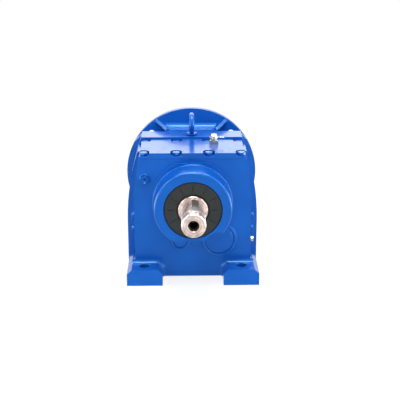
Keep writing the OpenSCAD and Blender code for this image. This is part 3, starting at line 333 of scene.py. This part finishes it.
def edge_loop(bm, points):
    """Edges of a closed ring of new points."""
    verts = [bm.verts.new(point) for point in points]
    return [bm.edges.new(pair) for pair in zip(verts, verts[1:] + verts[:1])]


def hex_bolt(bm, place, turn, across, head_h, shank_len):
    """Adds a bolt: a chamfered hexagon on its washer face, and its shank."""
    face_h, face_r, chamfer = 0.3 * MM, 0.475 * across, 0.9 * MM
    corner = across / math.sqrt(3)
    seat = Matrix.Translation(place) @ turn

    def cylinder(segments, radius, depth, middle):
        return bmesh.ops.create_cone(bm, cap_ends=True, segments=segments, radius1=radius,
                                     radius2=radius, depth=depth,
                                     matrix=seat @ Matrix.Translation((0, 0, middle)))

    head = cylinder(6, corner, head_h - face_h, (head_h + face_h) / 2)
    up = seat.to_3x3() @ Vector((0, 0, 1))
    rim = [edge for edge in dict.fromkeys(e for v in head["verts"] for e in v.link_edges)
           if all(abs((v.co - place).dot(up) - head_h) < 0.01 * MM for v in edge.verts)]
    bmesh.ops.bevel(bm, geom=rim, affect="EDGES", offset=chamfer, offset_type="OFFSET", segments=1,
                    profile=0.5, material=-1)
    cylinder(48, face_r, 2 * face_h, face_h)
    cylinder(32, BOLT_SHANK_R, shank_len, -shank_len / 2)


def solid_boxes(node):
    """Low and high box corner of each separate solid of a CAD node, in the order of its mesh."""
    bm = merged_copy(node)
    # a dict keeps the vertices in order, so that every run finds the solids in the same order
    left, boxes = dict.fromkeys(bm.verts), []
    while left:
        heap, island = [next(iter(left))], []
        del left[heap[0]]
        while heap:
            vert = heap.pop()
            island.append(vert.co.copy())
            for edge in vert.link_edges:
                other = edge.other_vert(vert)
                if other in left:
                    del left[other]
                    heap.append(other)
        boxes.append((Vector(min(c[i] for c in island) for i in range(3)),
                      Vector(max(c[i] for c in island) for i in range(3))))
    bm.free()
    return boxes


def dress(node, material):
    """Gives a CAD node that keeps its own shape its material."""
    mesh = frame["nodes"][node].data
    mesh.materials.clear()
    mesh.materials.append(material_named(material))


# ---------------------------------------------------------------- settings

class ReducerCastingSettings(bpy.types.PropertyGroup):
    edge_radius: FloatProperty(
        name="Edge radius", description="Rounding of the painted casting edges",
        default=2.4 * MM, min=0.2 * MM, max=3 * MM, unit="LENGTH")
    edge_segments: IntProperty(
        name="Edge segments", description="Faces across each rounded edge", default=3, min=1, max=6)
    cap_groove: FloatProperty(
        name="Cap groove", description="Width of the groove round each bore cap", default=1.2 * MM,
        min=0.4 * MM, max=2 * MM, unit="LENGTH")
    foot_gap: FloatProperty(
        name="Foot gap", description="Distance between the inner edges of the feet",
        default=106 * MM, min=80 * MM, max=130 * MM, unit="LENGTH")
    foot_height: FloatProperty(
        name="Foot height", description="Thickness of the feet", default=29 * MM, min=20 * MM,
        max=40 * MM, unit="LENGTH")
    foot_chamfer: FloatProperty(
        name="Foot chamfer", description="Chamfer along the feet", default=8 * MM, min=2 * MM,
        max=12 * MM, unit="LENGTH")
    foot_blend: FloatProperty(
        name="Foot blend", description="Radius where the front wall runs into the feet",
        default=6.3 * MM, min=2 * MM, max=12 * MM, unit="LENGTH")
    front_inset: FloatProperty(
        name="Front inset", description="How far the front part stands in from the rear part's sides",
        default=15 * MM, min=5 * MM, max=25 * MM, unit="LENGTH")
    rim_height: FloatProperty(
        name="Rim height", description="How far the rims round the caps stand out of the wall",
        default=3.2 * MM, min=1 * MM, max=5 * MM, unit="LENGTH")
    rim_width: FloatProperty(
        name="Rim width", description="Width of the rim round the large cap", default=5.2 * MM,
        min=3 * MM, max=8 * MM, unit="LENGTH")
    neck_width: FloatProperty(
        name="Neck width", description="Width of the adapter's neck over its flats",
        default=178 * MM, min=150 * MM, max=190 * MM, unit="LENGTH")
    neck_flat: FloatProperty(
        name="Neck flat", description="Half width of each flat of the neck", default=45.7 * MM,
        min=30 * MM, max=60 * MM, unit="LENGTH")
    neck_blend: FloatProperty(
        name="Neck blend", description="Radius where the neck runs into the motor flange",
        default=9 * MM, min=2 * MM, max=12 * MM, unit="LENGTH")
    flange_thickness: FloatProperty(
        name="Flange thickness", description="Thickness of the motor flange", default=14 * MM,
        min=8 * MM, max=20 * MM, unit="LENGTH")


class ReducerFittingSettings(bpy.types.PropertyGroup):
    bolt_across_flats: FloatProperty(
        name="Bolt size", description="Hexagon of the cover and adapter bolts, across flats",
        default=13 * MM, min=8 * MM, max=19 * MM, unit="LENGTH")
    bolt_head_height: FloatProperty(
        name="Bolt head height", description="Height of those bolts' heads", default=5.3 * MM,
        min=3 * MM, max=10 * MM, unit="LENGTH")
    eye_wire: FloatProperty(
        name="Eye thickness", description="Thickness of the lifting eye's ring", default=9 * MM,
        min=6 * MM, max=12 * MM, unit="LENGTH")
    seal_lip: FloatProperty(
        name="Seal bore", description="Diameter of the shaft collar that the output seal grips",
        default=50 * MM, min=40 * MM, max=60 * MM, unit="LENGTH")
    centre_hole: FloatProperty(
        name="Centre hole", description="Diameter of the tapped hole in the shaft end",
        default=14 * MM, min=8 * MM, max=16 * MM, unit="LENGTH")
    thread_pitch: FloatProperty(
        name="Thread pitch", description="Pitch of the centre hole's thread", default=2 * MM,
        min=1 * MM, max=3 * MM, unit="LENGTH")
    countersink: FloatProperty(
        name="Countersink", description="Depth of the cone at the centre hole's mouth",
        default=3 * MM, min=1 * MM, max=5 * MM, unit="LENGTH")
    eye_shank: FloatProperty(
        name="Eye shank", description="Length of the eye bolt's shank under its collar",
        default=14 * MM, min=8 * MM, max=20 * MM, unit="LENGTH")


class ReducerStageSettings(bpy.types.PropertyGroup):
    camera_distance: FloatProperty(
        name="Camera distance", description="From the camera to the shaft end", default=1.3589,
        min=0.3, unit="LENGTH")
    camera_elevation: FloatProperty(
        name="Camera elevation", description="Angle of the camera over the horizon",
        default=math.radians(17.564), subtype="ANGLE")
    camera_azimuth: FloatProperty(
        name="Camera azimuth", description="Angle of the camera round the upright axis",
        default=math.radians(-1.206), subtype="ANGLE")
    lens: FloatProperty(
        name="Lens", description="Focal length on a 36 mm sensor", default=77.49, min=10)
    floor_size: FloatProperty(
        name="Floor size", description="Width of the floor", default=24.0, unit="LENGTH")


# ---------------------------------------------------------------- operators

class REDUCER_OT_materials(bpy.types.Operator):
    """Make every finish of the reducer"""
    bl_idname = "reducer.materials"
    bl_label = "Finishes"

    def execute(self, context):
        low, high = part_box("output_shaft")
        axis_height = low[2] + (high[2] - low[2]) / 2
        gloss_alkyd_enamel("gloss_alkyd_enamel", "0F52AC", "0C499E", "5CC8F4")
        # cylindrical grinding leaves a bright, warm grey with streaks of light along the shaft
        machined_steel("ground_carbon_steel", "EAD8D0", "A89A92", 0.27, 0.9, axis_height, 0.95, 0.85)
        # lapped rings and balls are smooth enough to mirror the room
        machined_steel("lapped_chrome_steel", "D2D2D4", "B4B4B8", 0.16, 0.5, axis_height)
        # hobbed gears keep a darker, oily grey
        machined_steel("hobbed_steel", "A9A7A4", "84827F", 0.36, 1.2, axis_height)
        # drawn bright key stock, slightly greyer than the shaft
        grained_surface("bright_drawn_steel", "C4BCB2", "9A928A", 0.3, 1.5, 0.1, 1.0)
        # zinc plate over steel, with a faint cloudy spangle
        grained_surface("zinc_plated_steel", "C4C6C8", "A2A5A8", 0.32, 2.5, 0.1, 1.0)
        # phosphated spring steel is nearly black and dull
        grained_surface("phosphated_spring_steel", "3C3C3E", "28282A", 0.55, 1.0, 0.2, 0.6)
        # nitrile rubber moulded against a satin tool, grey with filler
        grained_surface("moulded_nitrile", "2B3031", "1E2223", 0.5, 0.8, 0.25, 0.0, 0.2)
        # the tapped hole's thread is painted near-black brown: painted shade for the deep hole
        grained_surface("tapped_hole_painted_shade", "3A2F2A", "1A1411", 0.45, 1.5, 0.2, 1.0)
        # bright nickel plate mirrors its surroundings, a little warm
        grained_surface("nickel_plated_brass", "CFC9BE", "8F897E", 0.2, 2.0, 0.08, 1.0)
        # turned brass, pale under a clear film
        grained_surface("turned_brass", "D8CCBA", "A18E76", 0.24, 1.2, 0.1, 1.0)
        return {"FINISHED"}


class REDUCER_OT_castings(bpy.types.Operator):
    """Round the edges of the painted castings"""
    bl_idname = "reducer.castings"
    bl_label = "Castings"

    def execute(self, context):
        settings = context.scene.reducer_castings
        for node, name in (("housing", "housing_casting"), ("inspection_cover", "cover_casting"),
                           ("motor_adapter", "adapter_casting")):
            soft_edged(node, name, "gloss_alkyd_enamel",
                       settings.edge_radius, settings.edge_segments)
        plug_edge = 0.5 * MM
        for node in ("oil_level_plug", "side_plugs"):
            soft_edged(node, node + "_painted", "gloss_alkyd_enamel", plug_edge)
        return {"FINISHED"}


class REDUCER_OT_bore_caps(bpy.types.Operator):
    """Press the two caps into their bores, each with a sunk groove round its face"""
    bl_idname = "reducer.bore_caps"
    bl_label = "Bore caps"

    def execute(self, context):
        groove = context.scene.reducer_castings.cap_groove
        # the face rounds over to this depth, and the groove reaches down to that one
        rounding, groove_depth = 0.7 * MM, 3 * MM
        for node in ("large_bore_cap", "small_bore_cap"):
            low, high = (Vector(corner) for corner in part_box(node))
            axis = (low + high) / 2
            rim = (high.x - low.x) / 2
            wall = rim - groove
            bm = bmesh.new()
            turned(bm, ((0, low.y), (rim - 2.2 * groove, low.y),
                        (rim - 1.5 * groove, low.y + 0.15 * MM), (wall, low.y + rounding),
                        (wall, low.y + groove_depth), (rim, low.y + groove_depth + 0.2 * MM),
                        (rim, high.y), (0, high.y)), axis)
            piece = piece_from(bm, node + "_painted", "gloss_alkyd_enamel", 40)
            stands_for(piece, node)
        return {"FINISHED"}


class REDUCER_OT_boss_rims(bpy.types.Operator):
    """Give the low cast rims on the front wall their crisp edges"""
    bl_idname = "reducer.boss_rims"
    bl_label = "Cast rims"

    def execute(self, context):
        size = context.scene.reducer_castings
        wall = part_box("inspection_cover")[0][1]
        top, edge = wall - size.rim_height, 1.2 * MM
        # each rim runs out into the wall over this width, and starts a little under its face
        skirt, root = 1.6 * MM, wall + 0.3 * MM
        bm = bmesh.new()
        for node, width in (("large_bore_cap", size.rim_width),
                            ("small_bore_cap", size.rim_width - 1 * MM), ("oil_level_plug", 2.4 * MM)):
            low, high = (Vector(corner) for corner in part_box(node))
            axis = (low + high) / 2
            hole = (high.x - low.x) / 2 + 0.1 * MM
            outer = hole + width
            turned(bm, ((hole, root), (outer + skirt, root), (outer + skirt, wall - 0.05 * MM),
                        (outer + 0.6 * MM, wall - 0.3 * MM), (outer + 0.1 * MM, wall - 1 * MM),
                        (outer, top + edge), (outer - 0.3 * edge, top + 0.3 * edge),
                        (outer - edge, top), (hole + edge, top), (hole, top + edge), (hole, root)),
                   axis)
        piece = piece_from(bm, "boss_rims_cast", "gloss_alkyd_enamel", 40)
        rides_on(piece, "housing")
        return {"FINISHED"}


class REDUCER_OT_neck_blends(bpy.types.Operator):
    """Run the adapter's neck into the motor flange with a hollow blend on each flat"""
    bl_idname = "reducer.neck_blends"
    bl_label = "Neck blends"

    def execute(self, context):
        size = context.scene.reducer_castings
        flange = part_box("motor_adapter")[1][1] - size.flange_thickness
        low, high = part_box("output_shaft")
        centre = Vector((0, 0, (low[2] + high[2]) / 2))
        reach, flat = size.neck_width / 2, size.neck_flat
        # the blend widens towards the flange, as the flats on both sides of it do
        flare = 0.4
        bm = bmesh.new()
        for quarter in range(4):
            turn = Matrix.Translation(centre) @ Matrix.Rotation(math.radians(90 * quarter), 4, "Y")
            loops = [edge_loop(bm, [turn @ Vector((side * (flat + v * flare), flange - u, reach + v))
                                    for u, v in hollow_blend(size.neck_blend)])
                     for side in (-1, 1)]
            bmesh.ops.bridge_loops(bm, edges=loops[0] + loops[1])
            bmesh.ops.holes_fill(bm, edges=loops[0] + loops[1], sides=0)
        bmesh.ops.recalc_face_normals(bm, faces=bm.faces)
        piece = piece_from(bm, "neck_blends_cast", "gloss_alkyd_enamel", 25)
        rides_on(piece, "motor_adapter")
        return {"FINISHED"}


class REDUCER_OT_foot_blends(bpy.types.Operator):
    """Run the front wall into the feet along their inner edges and tops"""
    bl_idname = "reducer.foot_blends"
    bl_label = "Foot blends"

    def execute(self, context):
        size = context.scene.reducer_castings
        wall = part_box("inspection_cover")[0][1]
        inner, top, chamfer = size.foot_gap / 2, size.foot_height, size.foot_chamfer
        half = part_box("housing")[1][0] - size.front_inset
        # the wall's lower edge, where the path starts, and half the turn at each foot chamfer
        start, lean = 3.2 * MM, math.tan(math.radians(22.5))
        # the path and the way that each of its corners leans out, for the right foot
        path = (((inner, start), (-1, 0)), ((inner, top - chamfer), (-1, lean)),
                ((inner + chamfer, top), (-lean, 1)), ((half - 1 * MM, top), (0, 1)))
        bm = bmesh.new()
        for side in (-1, 1):
            loops = [edge_loop(bm, [(side * (x + out_x * u), wall - v, z + out_z * u)
                                    for u, v in hollow_blend(size.foot_blend)])
                     for (x, z), (out_x, out_z) in path]
            for near, far in zip(loops, loops[1:]):
                bmesh.ops.bridge_loops(bm, edges=near + far)
            bmesh.ops.holes_fill(bm, edges=loops[0] + loops[-1], sides=0)
        bmesh.ops.recalc_face_normals(bm, faces=bm.faces)
        piece = piece_from(bm, "foot_blends_cast", "gloss_alkyd_enamel", 25)
        rides_on(piece, "housing")
        return {"FINISHED"}


class REDUCER_OT_cover_bolts(bpy.types.Operator):
    """Make the painted hexagon bolts of the cover"""
    bl_idname = "reducer.cover_bolts"
    bl_label = "Cover bolts"

    def execute(self, context):
        size = context.scene.reducer_fittings
        bm = bmesh.new()
        for number, (low, high) in enumerate(solid_boxes("cover_bolts")):
            place = Vector(((low.x + high.x) / 2, (low.y + high.y) / 2, high.z - size.bolt_head_height))
            # each was left at its own angle when it was tightened
            turn = Matrix.Rotation(math.radians(7 + 23 * number), 4, "Z")
            hex_bolt(bm, place, turn, size.bolt_across_flats, size.bolt_head_height,
                     high.z - size.bolt_head_height - low.z)
        piece = piece_from(bm, "cover_bolts_painted", "gloss_alkyd_enamel")
        bevel_modifier(piece, BOLT_EDGE, 2, 25)
        stands_for(piece, "cover_bolts")
        return {"FINISHED"}


class REDUCER_OT_adapter_bolts(bpy.types.Operator):
    """Make the painted hexagon bolts of the motor adapter"""
    bl_idname = "reducer.adapter_bolts"
    bl_label = "Adapter bolts"

    def execute(self, context):
        size = context.scene.reducer_fittings
        bm = bmesh.new()
        for number, (low, high) in enumerate(solid_boxes("adapter_bolts")):
            place = Vector(((low.x + high.x) / 2, high.y - size.bolt_head_height, (low.z + high.z) / 2))
            turn = Matrix.Rotation(math.radians(-90), 4, "X") @ Matrix.Rotation(
                math.radians(28 + 3 * (number % 3)), 4, "Z")
            hex_bolt(bm, place, turn, size.bolt_across_flats, size.bolt_head_height,
                     high.y - size.bolt_head_height - low.y)
        piece = piece_from(bm, "adapter_bolts_painted", "gloss_alkyd_enamel")
        bevel_modifier(piece, BOLT_EDGE, 2, 25)
        stands_for(piece, "adapter_bolts")
        return {"FINISHED"}


class REDUCER_OT_eye_bolt(bpy.types.Operator):
    """Forge the lifting eye bolt: a ring that flows into its collar"""
    bl_idname = "reducer.eye_bolt"
    bl_label = "Lifting eye bolt"

    def execute(self, context):
        size = context.scene.reducer_fittings
        low, high = (Vector(corner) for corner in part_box("lifting_eye_bolt"))
        wire = size.eye_wire / 2
        ring = (high.y - low.y) / 2 - wire
        middle = Vector((0, (low.y + high.y) / 2, high.z - wire - ring))
        seat = low.z + size.eye_shank
        collar = (high.x - low.x) / 2
        bm = bmesh.new()
        loop = bmesh.ops.create_circle(
            bm, cap_ends=False, segments=24, radius=wire,
            matrix=Matrix.Translation(middle + Vector((0, 0, ring))) @ Matrix.Rotation(
                math.radians(90), 4, "X"))
        edges = list(dict.fromkeys(edge for vert in loop["verts"] for edge in vert.link_edges))
        bmesh.ops.spin(bm, geom=loop["verts"] + edges, cent=middle, axis=(1, 0, 0), angle=math.tau,
                       steps=SPIN_STEPS, use_merge=True)
        shank, shank_chamfer = 5 * MM, 1 * MM
        neck_top, neck_low, flare = middle.z - ring, seat + 5.4 * MM, 2.6 * MM
        outline = [(0, low.z), (shank - shank_chamfer, low.z), (shank, low.z + shank_chamfer),
                   (shank, seat), (collar - 0.8 * MM, seat), (collar, seat + 0.8 * MM),
                   (collar, seat + 3.4 * MM), (collar - 0.9 * MM, seat + 4.5 * MM),
                   (wire + flare, neck_low)]
        # the neck narrows along an arc up to the ring
        outline += [(wire + flare * (1 - math.sin(a)),
                     neck_low + (neck_top - neck_low) * (1 - math.cos(a)))
                    for a in (math.radians(degrees) for degrees in (22, 45, 67, 90))]
        outline += [(0, neck_top)]
        collar_bm = bmesh.new()
        spun(collar_bm, [(x, middle.y, z) for x, z in outline], (0, middle.y, 0), (0, 0, 1))
        join = bpy.data.meshes.new("eye_collar")
        collar_bm.to_mesh(join)
        collar_bm.free()
        bm.from_mesh(join)
        bmesh.ops.recalc_face_normals(bm, faces=bm.faces)
        piece = piece_from(bm, "lifting_eye_bolt_forged", "gloss_alkyd_enamel", 50)
        stands_for(piece, "lifting_eye_bolt")
        return {"FINISHED"}


class REDUCER_OT_running_parts(bpy.types.Operator):
    """Finish the shafts, gears, bearings, seals and keys"""
    bl_idname = "reducer.running_parts"
    bl_label = "Running parts"

    def execute(self, context):
        finishes = {
            "ground_steel": "ground_carbon_steel", "bearing_steel": "lapped_chrome_steel",
            "gear_steel": "hobbed_steel", "key_steel": "bright_drawn_steel",
            "spring_steel": "phosphated_spring_steel", "zinc_steel": "zinc_plated_steel",
            "nitrile_rubber": "moulded_nitrile", "nickel_brass": "nickel_plated_brass",
            "brass": "turned_brass", "blue_enamel": "gloss_alkyd_enamel",
        }
        for part in frame["record"]["subparts"]:
            dress(part["node"], finishes[part["material_slot"]])
        broken_edge = 0.3 * MM
        soft_edged("output_shaft", "output_shaft_turned", "ground_carbon_steel",
                   broken_edge)
        soft_edged("output_key", "output_key_drawn", "bright_drawn_steel", broken_edge)
        return {"FINISHED"}


class REDUCER_OT_seal(bpy.types.Operator):
    """Mould the output shaft's rubber seal, with its sunk lip and fine radial lines"""
    bl_idname = "reducer.seal"
    bl_label = "Output seal"

    def execute(self, context):
        low, high = (Vector(corner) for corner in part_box("output_oil_seal"))
        axis = Vector((0, 0, (low.z + high.z) / 2))
        rim = (high.x - low.x) / 2
        lip = context.scene.reducer_fittings.seal_lip / 2
        face, back = low.y, high.y
        # the radial lines: where they start and end, their half width, depth and spacing in degrees
        line_from, line_to = lip + 9.5 * MM, rim - 7.5 * MM
        line_half, line_depth, line_step = 0.65 * MM, 1.1 * MM, 30
        # the gap between the lips and the shaft's collar
        gap = 0.1 * MM
        outline = ((rim, back), (rim, face + 2.2 * MM), (rim - 0.9 * MM, face + 1.9 * MM),
                   (rim - 1.3 * MM, face + 0.4 * MM), (rim - 1.9 * MM, face), (line_to, face),
                   (line_from, face), (lip + 3.9 * MM, face), (lip + 3.3 * MM, face + 0.5 * MM),
                   (lip + 3 * MM, face + 2.8 * MM), (lip + 1.4 * MM, face + 3.2 * MM),
                   (lip + gap, face + 2.2 * MM), (lip + gap, face + 3 * MM),
                   (lip + 1.6 * MM, face + 4.4 * MM), (lip + gap, back - 3 * MM),
                   (lip + gap, back - 2.2 * MM), (lip + 5 * MM, back - 2 * MM),
                   (rim - 7 * MM, back), (rim, back))
        bm = bmesh.new()
        turned(bm, outline, axis)

        def off_line(x, z):
            """Degrees to the nearest of the lines' directions."""
            turn = math.degrees(math.atan2(z, x)) % line_step
            return min(turn, line_step - turn)

        lines = []
        for edge in bm.edges:
            ends = [Vector((v.co.x, 0, v.co.z - axis.z)) for v in edge.verts]
            spans = sorted(end.length for end in ends)
            flat = all(abs(v.co.y - face) < 0.01 * MM for v in edge.verts)
            if (flat and abs(spans[0] - line_from) < 0.05 * MM and abs(spans[1] - line_to) < 0.05 * MM
                    and off_line(ends[0].x, ends[0].z) < 1):
                lines.append(edge)
        cut = bmesh.ops.bevel(bm, geom=lines, affect="EDGES", offset=line_half, offset_type="OFFSET",
                              segments=2, profile=0.5, material=-1)
        for vert in cut["verts"]:
            if off_line(vert.co.x, vert.co.z - axis.z) < 0.05:
                vert.co.y += line_depth
        piece = piece_from(bm, "output_seal_moulded", "moulded_nitrile", 30)
        stands_for(piece, "output_oil_seal")
        return {"FINISHED"}


class REDUCER_OT_centre_thread(bpy.types.Operator):
    """Cut the thread inside the shaft end's centre hole"""
    bl_idname = "reducer.centre_thread"
    bl_label = "Centre hole thread"

    def execute(self, context):
        size = context.scene.reducer_fittings
        low, high = (Vector(corner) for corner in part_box("output_shaft"))
        axis_z = (low.z + high.z) / 2
        wall, pitch, depth = size.centre_hole / 2, size.thread_pitch, size.countersink
        start = low.y + 3.2 * MM
        turns, steps_a_turn = int(34 * MM / pitch), 36
        root, crest = wall + 0.15 * MM, wall - 0.75 * MM
        bm = bmesh.new()
        # the thread's section as radius and share of the pitch
        section = [bm.verts.new((r, start + pitch * share, axis_z))
                   for r, share in ((root, 0), (crest, 0.42), (crest, 0.54), (root, 0.96))]
        edges = [bm.edges.new(pair) for pair in zip(section, section[1:] + section[:1])]
        bmesh.ops.spin(bm, geom=section + edges, cent=(0, start, axis_z), axis=(0, 1, 0),
                       dvec=(0, pitch / steps_a_turn, 0), angle=math.tau * turns,
                       steps=steps_a_turn * turns, use_merge=False)
        bmesh.ops.holes_fill(bm, edges=[e for e in bm.edges if e.is_boundary], sides=4)
        # the cone at the mouth, painted dark with the same painted shade as the thread
        mouth, inner = wall + depth, wall - 0.1 * MM
        turned(bm, ((inner, low.y + depth), (wall + 0.3 * MM, low.y + depth + 0.4 * MM),
                    (mouth + 0.1 * MM, low.y + 0.15 * MM), (mouth - 0.15 * MM, low.y + 0.02 * MM),
                    (inner, low.y + depth)), (0, low.y, axis_z))
        bmesh.ops.recalc_face_normals(bm, faces=bm.faces)
        piece = piece_from(bm, "centre_hole_thread", "tapped_hole_painted_shade", 50)
        rides_on(piece, "output_shaft")
        return {"FINISHED"}


class REDUCER_OT_stage(bpy.types.Operator):
    """Set up the floor, the lamps and the camera"""
    bl_idname = "reducer.stage"
    bl_label = "Stage"

    def execute(self, context):
        settings = context.scene.reducer_stage
        a, e = settings.camera_azimuth, settings.camera_elevation
        back = Vector((math.sin(a) * math.cos(e), -math.cos(a) * math.cos(e), math.sin(e)))
        camera_data = bpy.data.cameras.new("studio_camera")
        camera_data.lens = settings.lens
        camera_data.sensor_width = 36
        camera_data.clip_start, camera_data.clip_end = 0.05, 60
        camera = bpy.data.objects.new("studio_camera", camera_data)
        camera.location = Vector(CAMERA_AIM) + back * settings.camera_distance
        camera.rotation_mode = "QUATERNION"
        camera.rotation_quaternion = (-back).to_track_quat("-Z", "Y")
        context.scene.collection.objects.link(camera)
        context.scene.camera = camera

        self.floor(context, settings)
        self.world(context)
        for name, place, width, height, watts, gloss_only in LAMPS:
            lamp_data = bpy.data.lights.new(name, "AREA")
            lamp_data.shape = "RECTANGLE"
            lamp_data.size, lamp_data.size_y = width, height
            lamp_data.energy = watts
            lamp = bpy.data.objects.new(name, lamp_data)
            lamp.location = place
            lamp.rotation_mode = "QUATERNION"
            lamp.rotation_quaternion = (Vector(LAMP_AIM) - lamp.location).to_track_quat("-Z", "Y")
            lamp.visible_camera = False
            lamp.visible_diffuse = not gloss_only
            context.scene.collection.objects.link(lamp)
        context.scene.view_settings.view_transform = "Standard"
        return {"FINISHED"}

    @staticmethod
    def floor(context, settings):
        material, tree, output = new_material("paper_sweep")
        shown = seen_ray(tree)[1]
        # the paper shows the object's shadow near it and fades to even white a few strides away
        place = add_node(tree, "ShaderNodeTexCoord").outputs["Object"]
        away = add_node(tree, "ShaderNodeVectorMath", {0: place}, operation="LENGTH")
        even = add_node(tree, "ShaderNodeMapRange", {"Value": away.outputs["Value"], "From Min": 0.5,
                                                     "From Max": 2.2, "To Min": 0.8, "To Max": 1.0})
        share = add_node(tree, "ShaderNodeMath", {0: shown, 1: even.outputs[0]},
                         operation="MULTIPLY")
        paper = add_node(tree, "ShaderNodeBsdfPrincipled", {
            "Base Color": rgba("F2F1F5"), "Roughness": 0.35, "Specular IOR Level": 0.25})
        glow = add_node(tree, "ShaderNodeEmission", {"Color": (1, 1, 1, 1), "Strength": 1.0})
        mix = add_node(tree, "ShaderNodeMixShader", {0: share.outputs[0], 1: paper.outputs[0],
                                                     2: glow.outputs[0]})
        finish_material(tree, output, mix)
        bm = bmesh.new()
        bmesh.ops.create_grid(bm, x_segments=1, y_segments=1, size=settings.floor_size / 2)
        floor = piece_from(bm, "floor", "paper_sweep")

    @staticmethod
    def world(context):
        world = bpy.data.worlds.new("studio")
        world.use_nodes = True
        tree = world.node_tree
        tree.nodes.clear()
        output = add_node(tree, "ShaderNodeOutputWorld")
        ray, shown = seen_ray(tree)
        # a bright sweep behind and over the object, and a dim room in front of it
        facing = add_node(tree, "ShaderNodeTexCoord").outputs["Generated"]
        split = add_node(tree, "ShaderNodeSeparateXYZ", {"Vector": facing})
        depth = add_node(tree, "ShaderNodeMapRange", {"Value": split.outputs["Y"], "From Min": -0.6,
                                                      "From Max": 0.3, "To Min": 0.05, "To Max": 1.0})
        mirrored = add_node(tree, "ShaderNodeMix", {"Factor": ray.outputs["Is Glossy Ray"], "A": 1.0,
                                                    "B": depth.outputs[0]}, data_type="FLOAT")
        shown_strength = add_node(tree, "ShaderNodeMath", {0: shown, 1: mirrored.outputs["Result"]},
                                  operation="MULTIPLY")
        # what other rays meet, which lights the object
        strength = add_node(tree, "ShaderNodeMath", {0: shown_strength.outputs[0], 1: 0.35},
                            operation="MAXIMUM")
        sky = add_node(tree, "ShaderNodeBackground", {"Color": (1, 1, 1, 1),
                                                      "Strength": strength.outputs[0]})
        tree.links.new(sky.outputs[0], output.inputs["Surface"])
        context.scene.world = world


class REDUCER_PT_panel(bpy.types.Panel):
    """Sizes and steps of the gear reducer"""
    bl_label = "Gear reducer"
    bl_idname = "REDUCER_PT_panel"
    bl_space_type = "VIEW_3D"
    bl_region_type = "UI"
    bl_category = "Reducer"

    def draw(self, context):
        layout = self.layout
        for settings in (context.scene.reducer_castings, context.scene.reducer_fittings,
                         context.scene.reducer_stage):
            box = layout.box()
            for name in settings.__annotations__:
                box.prop(settings, name)
        for operator in OPERATORS:
            layout.operator(operator.bl_idname)


OPERATORS = (REDUCER_OT_materials, REDUCER_OT_running_parts, REDUCER_OT_castings,
             REDUCER_OT_foot_blends, REDUCER_OT_neck_blends, REDUCER_OT_boss_rims,
             REDUCER_OT_bore_caps, REDUCER_OT_cover_bolts, REDUCER_OT_adapter_bolts,
             REDUCER_OT_eye_bolt, REDUCER_OT_seal, REDUCER_OT_centre_thread, REDUCER_OT_stage)
CLASSES = (ReducerCastingSettings, ReducerFittingSettings, ReducerStageSettings, *OPERATORS,
           REDUCER_PT_panel)


def register():
    for cls in CLASSES:
        bpy.utils.register_class(cls)
    bpy.types.Scene.reducer_castings = PointerProperty(type=ReducerCastingSettings)
    bpy.types.Scene.reducer_fittings = PointerProperty(type=ReducerFittingSettings)
    bpy.types.Scene.reducer_stage = PointerProperty(type=ReducerStageSettings)


def unregister():
    del bpy.types.Scene.reducer_stage
    del bpy.types.Scene.reducer_fittings
    del bpy.types.Scene.reducer_castings
    for cls in reversed(CLASSES):
        bpy.utils.unregister_class(cls)


def main():
    register()
    bpy.ops.reducer.materials()
    bpy.ops.reducer.running_parts()
    bpy.ops.reducer.castings()
    bpy.ops.reducer.foot_blends()
    bpy.ops.reducer.neck_blends()
    bpy.ops.reducer.boss_rims()
    bpy.ops.reducer.bore_caps()
    bpy.ops.reducer.cover_bolts()
    bpy.ops.reducer.adapter_bolts()
    bpy.ops.reducer.eye_bolt()
    bpy.ops.reducer.seal()
    bpy.ops.reducer.centre_thread()
    bpy.ops.reducer.stage()


if __name__ == "__main__":
    main()
